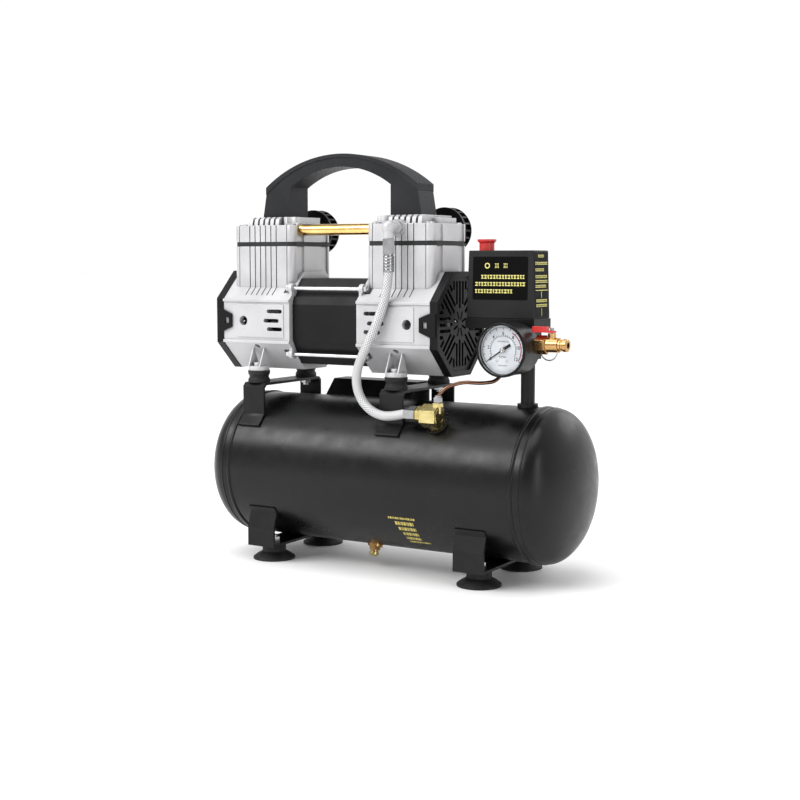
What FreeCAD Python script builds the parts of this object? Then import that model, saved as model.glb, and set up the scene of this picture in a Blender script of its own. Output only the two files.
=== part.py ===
import FreeCAD, Part
import math
import os
import Sketcher
from FreeCAD import Rotation, Vector

# Oil-free twin-cylinder air compressor. Millimetres. +X along the tank, -Y to the
# hose and gauge side, +Z up. Origin on the floor under the middle of the tank.

DIMENSIONS = {
    # tank
    "tank_radius": 82.5, "tank_height": 103.0, "tank_wall": 2.5, "seam_x": 177.5,
    "head_depth": 40.0, "head_skirt": 9.0, "bead_radius": 2.5,
    # feet
    "foot_left_x": -137.8, "foot_right_x": 127.0, "foot_y": 49.8, "cup_radius": 23.8,
    "cup_hub_radius": 13.5, "cup_height": 17.5, "strap_width": 35.6, "strap_thick": 3.0,
    "strap_half_span": 75.5, "strap_bend_z": 38.8,
    # saddles and rubber mounts
    "saddle_reach": 91.4, "saddle_width": 29.0, "saddle_half_span": 58.0, "saddle_top": 201.0,
    "mount_y": 46.7, "mount_top": 214.5,
    # pump
    "pump_x": -67.8, "shaft_z": 271.0, "case_near": 44.6, "case_far": 136.5,
    "case_half": 52.6, "flat_half": 20.9, "case_top": 326.5, "case_bottom": 215.5,
    "shoulder_top": 295.5, "shoulder_bottom": 246.0, "cavity_radius": 46.0,
    "cover_depth": 9.3, "slot_depth": 11.0, "bore_reach": 90.0, "bore_radius": 27.0,
    "barrel_half_x": 41.8, "barrel_half_y": 39.0, "corner_radius": 8.0, "barrel_top": 355.0,
    "gasket_top": 360.0,
    "head_top": 378.6, "fin_top": 388.0, "fin_pitch": 7.4,
    "pipe_radius": 6.25, "pipe_y": -21.6, "pipe_z": 373.3, "filter_radius": 26.0,
    "filter_depth": 23.0, "filter_z": 372.0,
    # motor and running gear
    "stator_half": 46.0, "stator_bottom": 223.0, "stator_top": 319.0, "rotor_bore": 25.0,
    "shaft_radius": 6.0, "crank_throw": 6.0, "eccentric_radius": 14.0, "piston_radius": 20.0,
    "rod_y": 43.0, "rod_upper_z": 308.0, "rod_lower_z": 234.0, "rod_radius": 2.2,
    # handle
    "handle_half_depth": 17.0, "handle_leg_in": 66.4, "handle_leg_out": 105.0,
    "handle_grip_out": 100.6, "handle_grip_z": 421.0, "handle_crown": 457.0,
    "handle_under": 442.6, "handle_corner_z": 421.5, "grip_thick": 8.0,
    # air line
    "elbow_x": 20.5, "elbow_y": -57.0, "elbow_z": 374.0, "hose_radius": 5.0,
    "valve_x": 78.5, "valve_y": -64.0, "port_z": 178.0, "tube_radius": 2.0,
    # riser, gauge, outlet
    "riser_x": 157.5, "riser_radius": 7.5, "gauge_x": 155.8, "gauge_z": 248.4,
    "gauge_radius": 27.2, "needle_rest": 33.0, "gauge_front": -62.0, "gauge_back": -50.0,
    "drum_back": -25.5,
    "block_half": 10.5, "block_bottom": 236.0, "outlet_y": -32.0, "outlet_z": 253.5,
    "lever_x": 199.4, "relief_x": 174.2, "relief_y": 1.0, "relief_z": 253.0,
    "ring_radius": 9.5,
    # pressure switch
    "switch_left": 93.5, "switch_right": 173.5, "switch_half": 20.5, "switch_bottom": 268.0,
    "switch_split": 278.5, "switch_top": 349.5, "knob_x": 108.0, "knob_top": 361.4,
    # drain and wiring box
    "drain_x": -15.0, "drain_tilt": 19.1, "box_left": -106.0, "box_right": 7.0,
    "box_front": 10.0, "box_back": 55.0, "box_top": 202.5,
}

doc = FreeCAD.newDocument("AirCompressor")
sheet = doc.addObject("Spreadsheet::Sheet", "Dims")
for row, (alias, number) in enumerate(DIMENSIONS.items(), start=1):
    sheet.set("A%d" % row, alias)
    sheet.set("B%d" % row, str(number))
    sheet.setAlias("B%d" % row, alias)
doc.recompute()

NODES = {}


class Size:
    """A length that carries both its number and the sheet formula that gives it."""

    def __init__(self, number, formula):
        self.number = number
        self.formula = formula

    def __add__(self, other):
        other = as_size(other)
        return Size(self.number + other.number, "(%s + %s)" % (self.formula, other.formula))

    def __radd__(self, other):
        return as_size(other) + self

    def __sub__(self, other):
        other = as_size(other)
        return Size(self.number - other.number, "(%s - %s)" % (self.formula, other.formula))

    def __rsub__(self, other):
        return as_size(other) - self

    def __mul__(self, other):
        other = as_size(other)
        return Size(self.number * other.number, "(%s * %s)" % (self.formula, other.formula))

    __rmul__ = __mul__

    def __truediv__(self, other):
        other = as_size(other)
        return Size(self.number / other.number, "(%s / %s)" % (self.formula, other.formula))

    def __neg__(self):
        return Size(-self.number, "(0 - %s)" % self.formula)

    def __abs__(self):
        return Size(abs(self.number), "abs(%s)" % self.formula)


def as_size(value):
    return value if isinstance(value, Size) else Size(float(value), "(%.6f)" % value)


def root(size):
    return Size(math.sqrt(size.number), "sqrt(%s)" % size.formula)


class Dims:
    """One attribute for each cell of the sheet."""


D = Dims()
for alias, number in DIMENSIONS.items():
    setattr(D, alias, Size(number, "Dims.%s" % alias))


def bind(thing, **sizes):
    for name, value in sizes.items():
        value = as_size(value)
        setattr(thing, name, value.number)
        thing.setExpression(name, value.formula)


TURNS = {
    "z": Rotation(),
    "-z": Rotation(Vector(1, 0, 0), 180),
    "x": Rotation(Vector(0, 1, 0), 90),
    "-x": Rotation(Vector(0, 1, 0), -90),
    "y": Rotation(Vector(1, 0, 0), -90),
    "-y": Rotation(Vector(1, 0, 0), 90),
}


def place(thing, at, axis="z"):
    """Stand a piece that is made along +Z on a point, turned to the named axis."""
    turn = axis if isinstance(axis, Rotation) else TURNS[axis]
    base = [as_size(value) for value in at]
    thing.Placement = FreeCAD.Placement(Vector(*[value.number for value in base]), turn)
    for letter, value in zip("xyz", base):
        thing.setExpression("Placement.Base.%s" % letter, value.formula)
    return thing


def box(xs, ys, zs):
    thing = doc.addObject("Part::Box", "Block")
    xs, ys, zs = [[as_size(value) for value in pair] for pair in (xs, ys, zs)]
    bind(thing, Length=xs[1] - xs[0], Width=ys[1] - ys[0], Height=zs[1] - zs[0])
    return place(thing, (xs[0], ys[0], zs[0]))


def rod(at, radius, length, axis="z"):
    thing = doc.addObject("Part::Cylinder", "Rod")
    bind(thing, Radius=radius, Height=length)
    return place(thing, at, axis)


def hexagon(at, flats, length, axis="z"):
    thing = doc.addObject("Part::Prism", "Hexagon")
    thing.Polygon = 6
    bind(thing, Circumradius=as_size(flats) / math.sqrt(3), Height=length)
    return place(thing, at, axis)


def ball(at, radius):
    thing = doc.addObject("Part::Sphere", "Ball")
    bind(thing, Radius=radius)
    return place(thing, at)


def ring(at, radius, wire, axis="z"):
    thing = doc.addObject("Part::Torus", "Ring")
    bind(thing, Radius1=radius, Radius2=wire)
    return place(thing, at, axis)


def joined(*pieces):
    if len(pieces) == 1:
        return pieces[0]
    thing = doc.addObject("Part::MultiFuse", "Joined")
    thing.Shapes = list(pieces)
    return thing


def less(base, *tools):
    thing = doc.addObject("Part::Cut", "Cut")
    thing.Base = base
    thing.Tool = joined(*tools)
    return thing


def common(base, tool):
    thing = doc.addObject("Part::Common", "Common")
    thing.Base = base
    thing.Tool = tool
    return thing


def group(*pieces):
    thing = doc.addObject("Part::Compound", "Group")
    thing.Links = list(pieces)
    return thing


def mirrored(source, x):
    """The same piece on the other side of the plane at x."""
    thing = doc.addObject("Part::Mirroring", "Mirrored")
    thing.Source = source
    thing.Normal = Vector(1, 0, 0)
    thing.Base = Vector(as_size(x).number, 0, 0)
    thing.setExpression("Base.x", as_size(x).formula)
    return thing


def node(name, thing):
    thing.Label = name
    NODES[name] = thing
    return thing


def own_plane(body, role):
    return [item for item in body.Origin.OriginFeatures if item.Role == role][0]


def outline_sketch(body, role, corners, start):
    """A closed outline on one of the body's planes. A corner with a third value starts
    an arc that stands out by that much from the chord to the next corner."""
    sketch = body.newObject("Sketcher::SketchObject", "Outline")
    sketch.AttachmentSupport = [(own_plane(body, role), "")]
    sketch.MapMode = "FlatFace"
    sketch.AttachmentOffset = FreeCAD.Placement(Vector(0, 0, as_size(start).number), Rotation())
    sketch.setExpression("AttachmentOffset.Base.z", as_size(start).formula)
    spots = [[as_size(value) for value in corner] for corner in corners]
    first_ends = []
    arcs = []
    for here, after in zip(spots, spots[1:] + spots[:1]):
        a = Vector(here[0].number, here[1].number, 0)
        b = Vector(after[0].number, after[1].number, 0)
        if len(here) == 2:
            edge = sketch.addGeometry(Part.LineSegment(a, b), False)
            first_ends.append((edge, 1, 2))
            continue
        rise = here[2]
        chord = (b - a).Length / 2
        out = Vector(b.y - a.y, a.x - b.x, 0).normalize()
        radius = (chord ** 2 + rise.number ** 2) / (2 * abs(rise.number))
        sign = math.copysign(1, rise.number)
        centre = (a + b) / 2 + out * (rise.number - sign * radius)
        begin, end = (a, b) if sign > 0 else (b, a)
        angles = [math.atan2(spot.y - centre.y, spot.x - centre.x) for spot in (begin, end)]
        if angles[1] < angles[0]:
            angles[1] += 2 * math.pi
        circle = Part.Circle(centre, Vector(0, 0, 1), radius)
        edge = sketch.addGeometry(Part.ArcOfCircle(circle, *angles), False)
        first_ends.append((edge, 1, 2) if sign > 0 else (edge, 2, 1))
        half = root((after[0] - here[0]) * (after[0] - here[0])
                    + (after[1] - here[1]) * (after[1] - here[1])) / 2
        arcs.append((edge, (half * half + rise * rise) / (2 * abs(rise))))
    for index, (edge, head, tail) in enumerate(first_ends):
        following = first_ends[(index + 1) % len(first_ends)]
        sketch.addConstraint(Sketcher.Constraint("Coincident", edge, tail, following[0], following[1]))
    for (edge, head, tail), spot in zip(first_ends, spots):
        for kind, value in (("DistanceX", spot[0]), ("DistanceY", spot[1])):
            index = sketch.addConstraint(
                Sketcher.Constraint(kind, -1, 1, edge, head, value.number))
            sketch.setExpression("Constraints[%d]" % index, value.formula)
    for edge, radius in arcs:
        index = sketch.addConstraint(Sketcher.Constraint("Radius", edge, radius.number))
        sketch.setExpression("Constraints[%d]" % index, radius.formula)
    return sketch


def extruded(role, corners, span):
    """A pad of the outline: along X on YZ, along Y on XZ, along Z on XY."""
    low, high = [as_size(value) for value in span]
    body = doc.addObject("PartDesign::Body", "Padded")
    start = -high if role == "XZ_Plane" else low
    pad = body.newObject("PartDesign::Pad", "Pad")
    pad.Profile = outline_sketch(body, role, corners, start)
    bind(pad, Length=high - low)
    body.Tip = pad
    return body


def turned(corners, at, axis="z"):
    """A piece turned about its own axis from an outline of (radius, height) corners."""
    body = doc.addObject("PartDesign::Body", "Turned")
    sketch = outline_sketch(body, "XZ_Plane", corners, 0)
    turn = body.newObject("PartDesign::Revolution", "Turn")
    turn.Profile = sketch
    turn.ReferenceAxis = (sketch, ["V_Axis"])
    turn.Angle = 360
    body.Tip = turn
    return place(body, at, axis)


def tank_solid(extra=0.0):
    """The tank's outside as a plain cylinder, for pieces that sit on it."""
    return rod((-D.seam_x, 0, D.tank_height), D.tank_radius + extra, D.seam_x * 2, "x")


def across(side, near, far):
    """X range between two distances from the pump's middle, on the given side."""
    if side > 0:
        return D.pump_x + near, D.pump_x + far
    return D.pump_x - far, D.pump_x - near


# ---------------------------------------------------------------- tank and stand

def make_tank():
    inner = D.tank_radius - D.tank_wall
    shell = turned([(inner, -D.seam_x), (D.tank_radius, -D.seam_x),
                    (D.tank_radius, D.seam_x), (inner, D.seam_x)], (0, 0, D.tank_height), "x")
    node("tank_shell", shell)
    caps = []
    for side, axis in ((-1, "-x"), (1, "x")):
        seat = D.seam_x * side
        dome_start = (D.seam_x + D.head_skirt) * side
        skirt = less(rod((seat, 0, D.tank_height), D.tank_radius, D.head_skirt, axis),
                     rod((seat, 0, D.tank_height), inner, D.head_skirt, axis))
        dome = less(half_ellipsoid(dome_start, D.tank_radius, D.head_depth, axis),
                    half_ellipsoid(dome_start, inner, D.head_depth - D.tank_wall, axis))
        caps.append(joined(skirt, dome))
    node("tank_heads", group(*caps))
    beads = []
    for side in (-1, 1):
        for x, sunk, wire in ((D.seam_x, 1.0, D.bead_radius),
                              (D.seam_x + D.head_skirt, 0.7, as_size(1.3))):
            bead = ring((x * side, 0, D.tank_height), D.tank_radius - sunk, wire, "x")
            beads.append(less(bead, rod((x * side - 5, 0, D.tank_height), D.tank_radius, 10, "x")))
    base, turn = valve_stand(-4)
    bung = less(rod(base, 12.0, 6.4, turn), tank_solid(), rod(base, 6.1, 20, turn))
    node("weld_beads", group(*beads, bung))


def valve_stand(height):
    """A point over the tank's skin on the line from its middle to the check valve, and the turn
    that lays a piece along that line."""
    rise = (D.port_z - 1.0 - D.tank_height).number
    lean = math.atan2(-D.valve_y.number, rise)
    reach = D.tank_radius.number + height
    spot = (D.valve_x, -math.sin(lean) * reach, D.tank_height + math.cos(lean) * reach)
    return spot, Rotation(Vector(1, 0, 0), math.degrees(lean))


def half_ellipsoid(x, radius, depth, axis):
    thing = doc.addObject("Part::Ellipsoid", "Dome")
    bind(thing, Radius1=depth, Radius2=radius, Radius3=radius)
    thing.Angle1 = 0
    thing.Angle2 = 90
    return place(thing, (x, 0, D.tank_height), axis)


def make_foot_brackets():
    out = D.strap_half_span
    skin = D.strap_thick
    weld_y = 66.9
    weld_z = 55.6
    flange_y = 70.2
    flange_z = 62.0
    for name, x in (("foot_bracket_left", D.foot_left_x), ("foot_bracket_right", D.foot_right_x)):
        floor_z = D.cup_height
        outline = [(-out, floor_z), (out, floor_z), (out, D.strap_bend_z), (weld_y + skin, weld_z),
                   (flange_y + skin, flange_z), (flange_y, flange_z + 1), (weld_y, weld_z + 1),
                   (out - skin, D.strap_bend_z), (out - skin, floor_z + skin),
                   (skin - out, floor_z + skin), (skin - out, D.strap_bend_z),
                   (-weld_y, weld_z + 1), (-flange_y, flange_z + 1), (-flange_y - skin, flange_z),
                   (-weld_y - skin, weld_z), (-out, D.strap_bend_z)]
        span = (x - D.strap_width / 2, x + D.strap_width / 2)
        strap = less(extruded("YZ_Plane", outline, span), tank_solid(),
                     rod((x, -D.foot_y, floor_z - 1), 4.3, skin + 2),
                     rod((x, D.foot_y, floor_z - 1), 4.3, skin + 2))
        node(name, strap)


def make_feet():
    feet = []
    bolts = []
    top = D.cup_height
    for x in (D.foot_left_x, D.foot_right_x):
        for side in (-1, 1):
            y = D.foot_y * side
            feet.append(turned(
                [(0, 5.5), (8, 5.5), (21.5, 0), (D.cup_radius, 0), (D.cup_radius, 2.2),
                 (19.0, 5.6), (D.cup_hub_radius, 8.6), (D.cup_hub_radius, top), (4.4, top),
                 (4.4, 8.5), (0, 8.5)], (x, y, 0)))
            shank = rod((x, y, 9), 4.0, top + D.strap_thick + 6.5 - 9)
            nut = hexagon((x, y, top + D.strap_thick), 13, 4.5)
            bolts.append(joined(shank, nut))
    node("suction_feet", group(*feet))
    node("foot_bolts", group(*bolts))


def make_saddles():
    half = D.saddle_half_span
    top = D.saddle_top
    skin = D.strap_thick
    lap = D.tank_radius + skin
    tab_y = as_size(68.6)
    knee_z = D.tank_height + root(lap * lap - half * half)
    tab_z = D.tank_height + root(lap * lap - tab_y * tab_y)
    half_chord = root((tab_y - half) * (tab_y - half) + (knee_z - tab_z) * (knee_z - tab_z)) / 2
    tab_rise = lap - root(lap * lap - half_chord * half_chord)
    for side, name in ((-1, "saddle_left"), (1, "saddle_right")):
        x = D.pump_x + D.saddle_reach * side
        outline = [(-half, knee_z), (-half, top - 4), (4 - half, top), (half - 4, top),
                   (half, top - 4), (half, knee_z, tab_rise), (tab_y, tab_z),
                   (tab_y - 3, tab_z - 3), (half - skin - 3, knee_z - 6), (half - skin, knee_z),
                   (half - skin, top - skin - 3), (half - skin - 3, top - skin),
                   (skin + 3 - half, top - skin), (skin - half, top - skin - 3),
                   (skin - half, knee_z), (skin + 3 - half, knee_z - 6), (3 - tab_y, tab_z - 3),
                   (-tab_y, tab_z, tab_rise)]
        span = (x - D.saddle_width / 2, x + D.saddle_width / 2)
        node(name, less(extruded("YZ_Plane", outline, span), tank_solid(),
                        rod((x, -D.mount_y, top - 10), 3.3, 20),
                        rod((x, D.mount_y, top - 10), 3.3, 20)))


def make_rubber_mounts():
    mounts = []
    bolts = []
    for reach in (-1, 1):
        x = D.pump_x + D.saddle_reach * reach
        for side in (-1, 1):
            y = D.mount_y * side
            tall = D.mount_top - D.saddle_top
            mounts.append(turned([(3.2, 0), (12.5, 0), (12.5, 3.2), (10.8, tall / 2),
                                  (12.5, tall - 3.2), (12.5, tall), (3.2, tall)],
                                 (x, y, D.saddle_top)))
            shank = rod((x, y, D.saddle_top - 10), 3.0, tall + 10)
            nut = hexagon((x, y, D.saddle_top - D.strap_thick - 4.5), 10, 4.5)
            bolts.append(joined(shank, nut))
    node("rubber_mounts", group(*mounts))
    node("mount_bolts", group(*bolts))


def make_wiring_box():
    left, right, front, back, top = D.box_left, D.box_right, D.box_front, D.box_back, D.box_top
    wall = 2.0
    outline = [(front, 150), (back, 150), (back, top), (front + 18, top), (front, 184)]
    inside = [(front + wall, 140), (back - wall, 140), (back - wall, top - wall),
              (front + 18.5, top - wall), (front + wall, 183)]
    shell = less(extruded("YZ_Plane", outline, (left, right)),
                 extruded("YZ_Plane", inside, (left + wall, right - wall)), tank_solid())
    node("wiring_box", shell)
    node("start_capacitor", rod((left + 14, 36, 189), 10, 60, "x"))
    gland = joined(hexagon((left + 22, back, 190), 17, 5, "y"),
                   rod((left + 22, back + 5, 190), 6.5, 9, "y"))
    node("cable_gland", less(gland, rod((left + 22, back - 1, 190), 3.5, 16, "y")))


def make_drain():
    """Drain on the underside, square to the tank's skin."""
    tilt = D.drain_tilt.number
    turn = Rotation(Vector(1, 0, 0), 180 - tilt)
    reach = math.radians(tilt)

    def out(distance):
        return (D.drain_x, -math.sin(reach) * distance, D.tank_height - math.cos(reach) * distance)

    skin = D.tank_radius.number
    body = joined(rod(out(skin - 2), 8.5, 5.0, turn), hexagon(out(skin + 2.5), 12, 4.0, turn),
                  rod(out(skin + 6), 4.6, 3.2, turn))
    body = less(body, tank_solid(), rod(out(skin - 3), 2.3, 14, turn))
    node("drain_valve", body)
    knob = joined(rod(out(skin + 9.6), 5.6, 2.6, turn), rod(out(skin + 2), 2.2, 9, turn),
                  hexagon(out(skin + 12.2), 7, 1.6, turn))
    node("drain_screw", knob)


# ------------------------------------------------------------------------- pump

def octagon(shrink=0.0, top=None):
    """Outline of the crankcase across the shaft, drawn in by shrink."""
    half = D.case_half - shrink
    flat = D.flat_half - shrink * 0.41
    upper = (top if top is not None else D.case_top) - shrink
    lower = D.case_bottom + shrink
    high = D.shoulder_top - shrink * 0.41
    low = D.shoulder_bottom + shrink * 0.41
    return [(-half, low), (-flat, lower), (flat, lower), (half, low),
            (half, high), (flat, upper), (-flat, upper), (-half, high)]


def slot_cutter(xs, y, z, height, depth):
    """A round-ended slot sunk into the front face."""
    radius = height / 2
    low, high = xs
    return joined(box((low + radius, high - radius), (y, y + depth), (z - radius, z + radius)),
                  rod((low + radius, y, z), radius, depth, "y"),
                  rod((high - radius, y, z), radius, depth, "y"))


def make_crankcase():
    """The right crankcase; the left one is its mirror image."""
    side = 1
    face = -D.case_half
    case = extruded("YZ_Plane", octagon(), across(side, D.case_near, D.case_far))
    extras = []
    for y in (-1, 1):
        mount_x = D.pump_x + D.saddle_reach
        mount_y = D.mount_y * y
        extras.append(rod((mount_x, mount_y, D.mount_top), 11.8, 5.0))
        extras.append(rod((mount_x, mount_y, D.mount_top + 4), 6.0, 5))
        web = [(mount_y - 10.0, D.mount_top + 4), (mount_y + 10.0, D.mount_top + 4),
               (mount_y - 6.0 * y, D.mount_top + 14), (mount_y, D.mount_top + 27)]
        if y > 0:
            web = [web[1], web[3], web[2], web[0]]
        for rib in (-8.2, 6.9):
            extras.append(extruded("YZ_Plane", web, (mount_x + rib, mount_x + rib + 1.3)))
        for z in (D.rod_upper_z, D.rod_lower_z):
            extras.append(rod((D.pump_x + D.case_near, D.rod_y * y, z), 5.6, 5.0, "x"))
            lug = (z - 13, z) if z is D.rod_upper_z else (z, z + 13)
            ys = (D.rod_y * y - 4.5, D.rod_y * y + 4.5)
            extras.append(box(across(side, D.case_near, D.case_near + 3.5), ys, lug))
    # ledges along the front and back faces
    for y in (-1, 1):
        ys = (face - 1.6, face + 3) if y < 0 else (-face - 3, -face + 1.6)
        extras.append(box(across(side, D.case_near, D.case_far), ys, (292.5, 295.5)))
        extras.append(box(across(side, D.case_near, D.case_far), ys, (246.0, 249.0)))
        panel = (face - 0.8, face + 3) if y < 0 else (-face - 3, -face + 0.8)
        extras.append(box(across(side, 52.4, 116.6), panel, (252.6, 289.6)))
    solid = joined(case, *extras)
    cuts = [rod((D.pump_x + D.case_near + 12, 0, D.shaft_z), D.cavity_radius,
                D.case_far - D.case_near - 12, "x"),
            rod((D.pump_x + D.case_near - 1, 0, D.shaft_z), 14.0, 14, "x"),
            rod((D.pump_x + D.bore_reach, 0, D.shaft_z), D.bore_radius, 60)]
    near = D.pump_x + D.case_near
    for z, shift in ((282.0, 0.0), (271.5, 4.5), (262.0, 0.0)):
        for y in (face - 2, -face + 2 - D.slot_depth):
            cuts.append(slot_cutter((near + 9.5 + shift, near + 30.5 + shift), y, z, 4.4,
                                    D.slot_depth))
    for y in (face - 2, -face + 2 - D.slot_depth):
        cuts.append(rod((D.pump_x + 108.0, y, D.shaft_z), 5.6, D.slot_depth, "y"))
    for z in (D.rod_upper_z, D.rod_lower_z):
        for y in (-1, 1):
            cuts.append(rod((near - 1, D.rod_y * y, z), D.rod_radius + 0.1, 8, "x"))
            cuts.append(rod((near + 5, D.rod_y * y, z), 5.6, 8, "x"))
    for index in range(6):
        x = groove_x(index)
        cuts.append(box((x, x + 1.4), (face - 1, -face + 1), (300, 330)))
    shoulder = extruded("YZ_Plane", octagon(shrink=1.6), across(side, D.case_near - 1, D.case_far + 1))
    groove_tool = less(joined(*cuts[-6:]), shoulder)
    cuts = cuts[:-6] + [groove_tool]
    # oval drain hole in the lower front chamfer
    cuts.append(rod((D.pump_x + 92, -50.0, 240.0), 3.4, 9, Rotation(Vector(1, 0, 0), -44)))
    case = less(solid, *cuts)
    node("crankcase_right", case)
    node("crankcase_left", mirrored(case, D.pump_x))


def groove_x(index):
    """Left edge of each cooling groove on the right-hand pump."""
    return D.pump_x + D.bore_reach + 17.7 - D.fin_pitch * index


def rounded_block(x, half_x, half_y, zs):
    radius = D.corner_radius
    pieces = [box((x - half_x, x + half_x), (radius - half_y, half_y - radius), zs),
              box((x - half_x + radius, x + half_x - radius), (-half_y, half_y), zs)]
    for sx in (-1, 1):
        for sy in (-1, 1):
            pieces.append(rod((x + (half_x - radius) * sx, (half_y - radius) * sy, zs[0]),
                              radius, as_size(zs[1]) - zs[0]))
    return joined(*pieces)


def make_cylinder():
    x = D.pump_x + D.bore_reach
    block = rounded_block(x, D.barrel_half_x, D.barrel_half_y, (D.shoulder_top + 4, D.barrel_top))
    seat = extruded("YZ_Plane", octagon(), (x - 60, x + 60))
    cuts = [seat, rod((x, 0, D.shaft_z), D.bore_radius, 100)]
    cuts += face_grooves(x, D.shoulder_top, D.barrel_top + 1)
    barrel = less(block, *cuts)
    node("cylinder_right", barrel)
    node("cylinder_left", mirrored(barrel, D.pump_x))


def face_grooves(x, low, high):
    """Cooling grooves down the front and back, and the recess beside each corner column."""
    cuts = []
    half = D.barrel_half_y
    for index in range(6):
        edge = groove_x(index)
        for ys in ((-half - 1, -half + 1.8), (half - 1.8, half + 1)):
            cuts.append(box((edge, edge + 1.4), ys, (low, high)))
    for side in (-1, 1):
        inner = x + (D.barrel_half_x - 1.8) * side
        outer = x + (D.barrel_half_x + 2.0) * side
        xs = (inner, outer) if side > 0 else (outer, inner)
        cuts.append(box(xs, (-30.5, -17.0), (low, high)))
        cuts.append(box(xs, (17.0, 30.5), (low, high)))
        column = x + (D.barrel_half_x - 8.6) * side
        for ys in ((-half - 1, -half + 0.9), (half - 0.9, half + 1)):
            cuts.append(box((column - 0.6, column + 0.6), ys, (low, high)))
    return cuts


def make_valve_plates():
    plates = []
    for side in (-1, 1):
        x = D.pump_x + D.bore_reach * side
        plate = rounded_block(x, D.barrel_half_x - 0.6, D.barrel_half_y - 0.6,
                              (D.barrel_top, D.gasket_top))
        plates.append(less(plate, rod((x - 9, 0, D.barrel_top - 1), 5, 7),
                           rod((x + 9, 0, D.barrel_top - 1), 5, 7)))
    node("valve_plates", group(*plates))


def make_head():
    x = D.pump_x + D.bore_reach
    base = rounded_block(x, D.barrel_half_x, D.barrel_half_y, (D.gasket_top, D.head_top))
    lift = D.fin_top - D.head_top + 3
    low = D.head_top - 3
    back = D.barrel_half_y - 5
    fins = []
    for index in range(6):
        edge = groove_x(index) + 1.8
        rise = [(-33, low), (back, low), (back, low + lift), (-27, low + lift), (-31, low + lift - 2.5)]
        fins.append(extruded("YZ_Plane", rise, (edge, edge + D.fin_pitch - 2.6)))
    pad = box((x - D.barrel_half_x + 7, groove_x(5) - 1.5), (-26, back), (low, D.fin_top))
    boss = rod((x - 27.6, -21, low), 9.0, lift)
    far_pad = box((x + 22, x + D.barrel_half_x - 7), (-8, back), (low, D.fin_top - 3))
    pipe_boss = rod((x - D.barrel_half_x - 1.5, D.pipe_y, D.pipe_z), 8.8, 14, "x")
    cuts = face_grooves(x, D.gasket_top - 1, D.fin_top + 1)
    cuts.append(rod((x, 0, D.gasket_top - 1), 20, 11))
    cuts.append(rod((D.pump_x + D.handle_leg_in + 19, 0, D.head_top + 0.5), 3.3, 20))
    cuts.append(rod((D.pump_x + D.bore_reach - D.barrel_half_x - 3, D.pipe_y, D.pipe_z),
                    D.pipe_radius, 9, "x"))
    for sx in (-1, 1):
        for sy in (-1, 1):
            cuts.append(rod((x + 33.0 * sx, 30.5 * sy, D.gasket_top - 1), 3.1, 60))
            cuts.append(rod((x + 33.0 * sx, 30.5 * sy, D.head_top - 4), 5.6, 30))
    head = less(joined(base, pad, boss, far_pad, pipe_boss, *fins), *cuts)
    outlet_boss = rod((D.elbow_x, -D.barrel_half_y - 2, D.elbow_z), 9.0, 12, "y")
    node("head_right", less(joined(head, outlet_boss),
                            rod((D.elbow_x, -D.barrel_half_y - 3, D.elbow_z), 5, 16, "y")))
    node("head_left", mirrored(head, D.pump_x))


def make_head_bolts():
    bolts = []
    for side in (-1, 1):
        x = D.pump_x + D.bore_reach * side
        for sx in (-1, 1):
            for sy in (-1, 1):
                at = (x + 33.0 * sx, 30.5 * sy)
                cap = less(rod((at[0], at[1], D.head_top - 4), 5.0, 5.5),
                           hexagon((at[0], at[1], D.head_top - 1), 5, 6))
                bolts.append(joined(cap, rod((at[0], at[1], D.gasket_top + 0.1), 3.0, 16)))
    # the two screws that stand up into the handle's legs
    bolts += [rod((D.pump_x + (D.handle_leg_in + 19) * side, 0, D.head_top + 1), 3.2, 18)
              for side in (-1, 1)]
    node("head_bolts", group(*bolts))


def make_crossover_pipe():
    reach = D.bore_reach - D.barrel_half_x + 3
    length = reach * 2
    at = (D.pump_x - reach, D.pipe_y, D.pipe_z)
    pipe = less(rod(at, D.pipe_radius, length, "x"), rod(at, D.pipe_radius - 1, length, "x"))
    node("crossover_pipe", pipe)


def make_air_filters():
    filters = []
    for side in (-1, 1):
        x = D.pump_x + (D.bore_reach + 10) * side if side > 0 else D.pump_x - D.bore_reach + 13
        start = D.barrel_half_y
        depth = D.filter_depth
        r = D.filter_radius
        body = turned([(0, 0), (9, 0), (9, 3), (r, 3), (r, 6.5), (r - 5, 6.5), (r - 5, depth - 4),
                       (r, depth - 4), (r - 1.5, depth), (0, depth)], (x, start, D.filter_z), "y")
        ribs = []
        for index in range(20):
            angle = index * 18.0
            rib = doc.addObject("Part::Box", "Rib")
            bind(rib, Length=2.0, Width=5.5, Height=depth - 9)
            turn = Rotation(Vector(1, 0, 0), -90).multiply(Rotation(Vector(0, 0, 1), angle))
            offset = turn.multVec(Vector(-1.0, (r - 6).number, 6.0))
            place(rib, (x + offset.x, start + offset.y, D.filter_z + offset.z), turn)
            ribs.append(rib)
        filters.append(joined(body, *ribs))
    node("air_filters", group(*filters))


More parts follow.
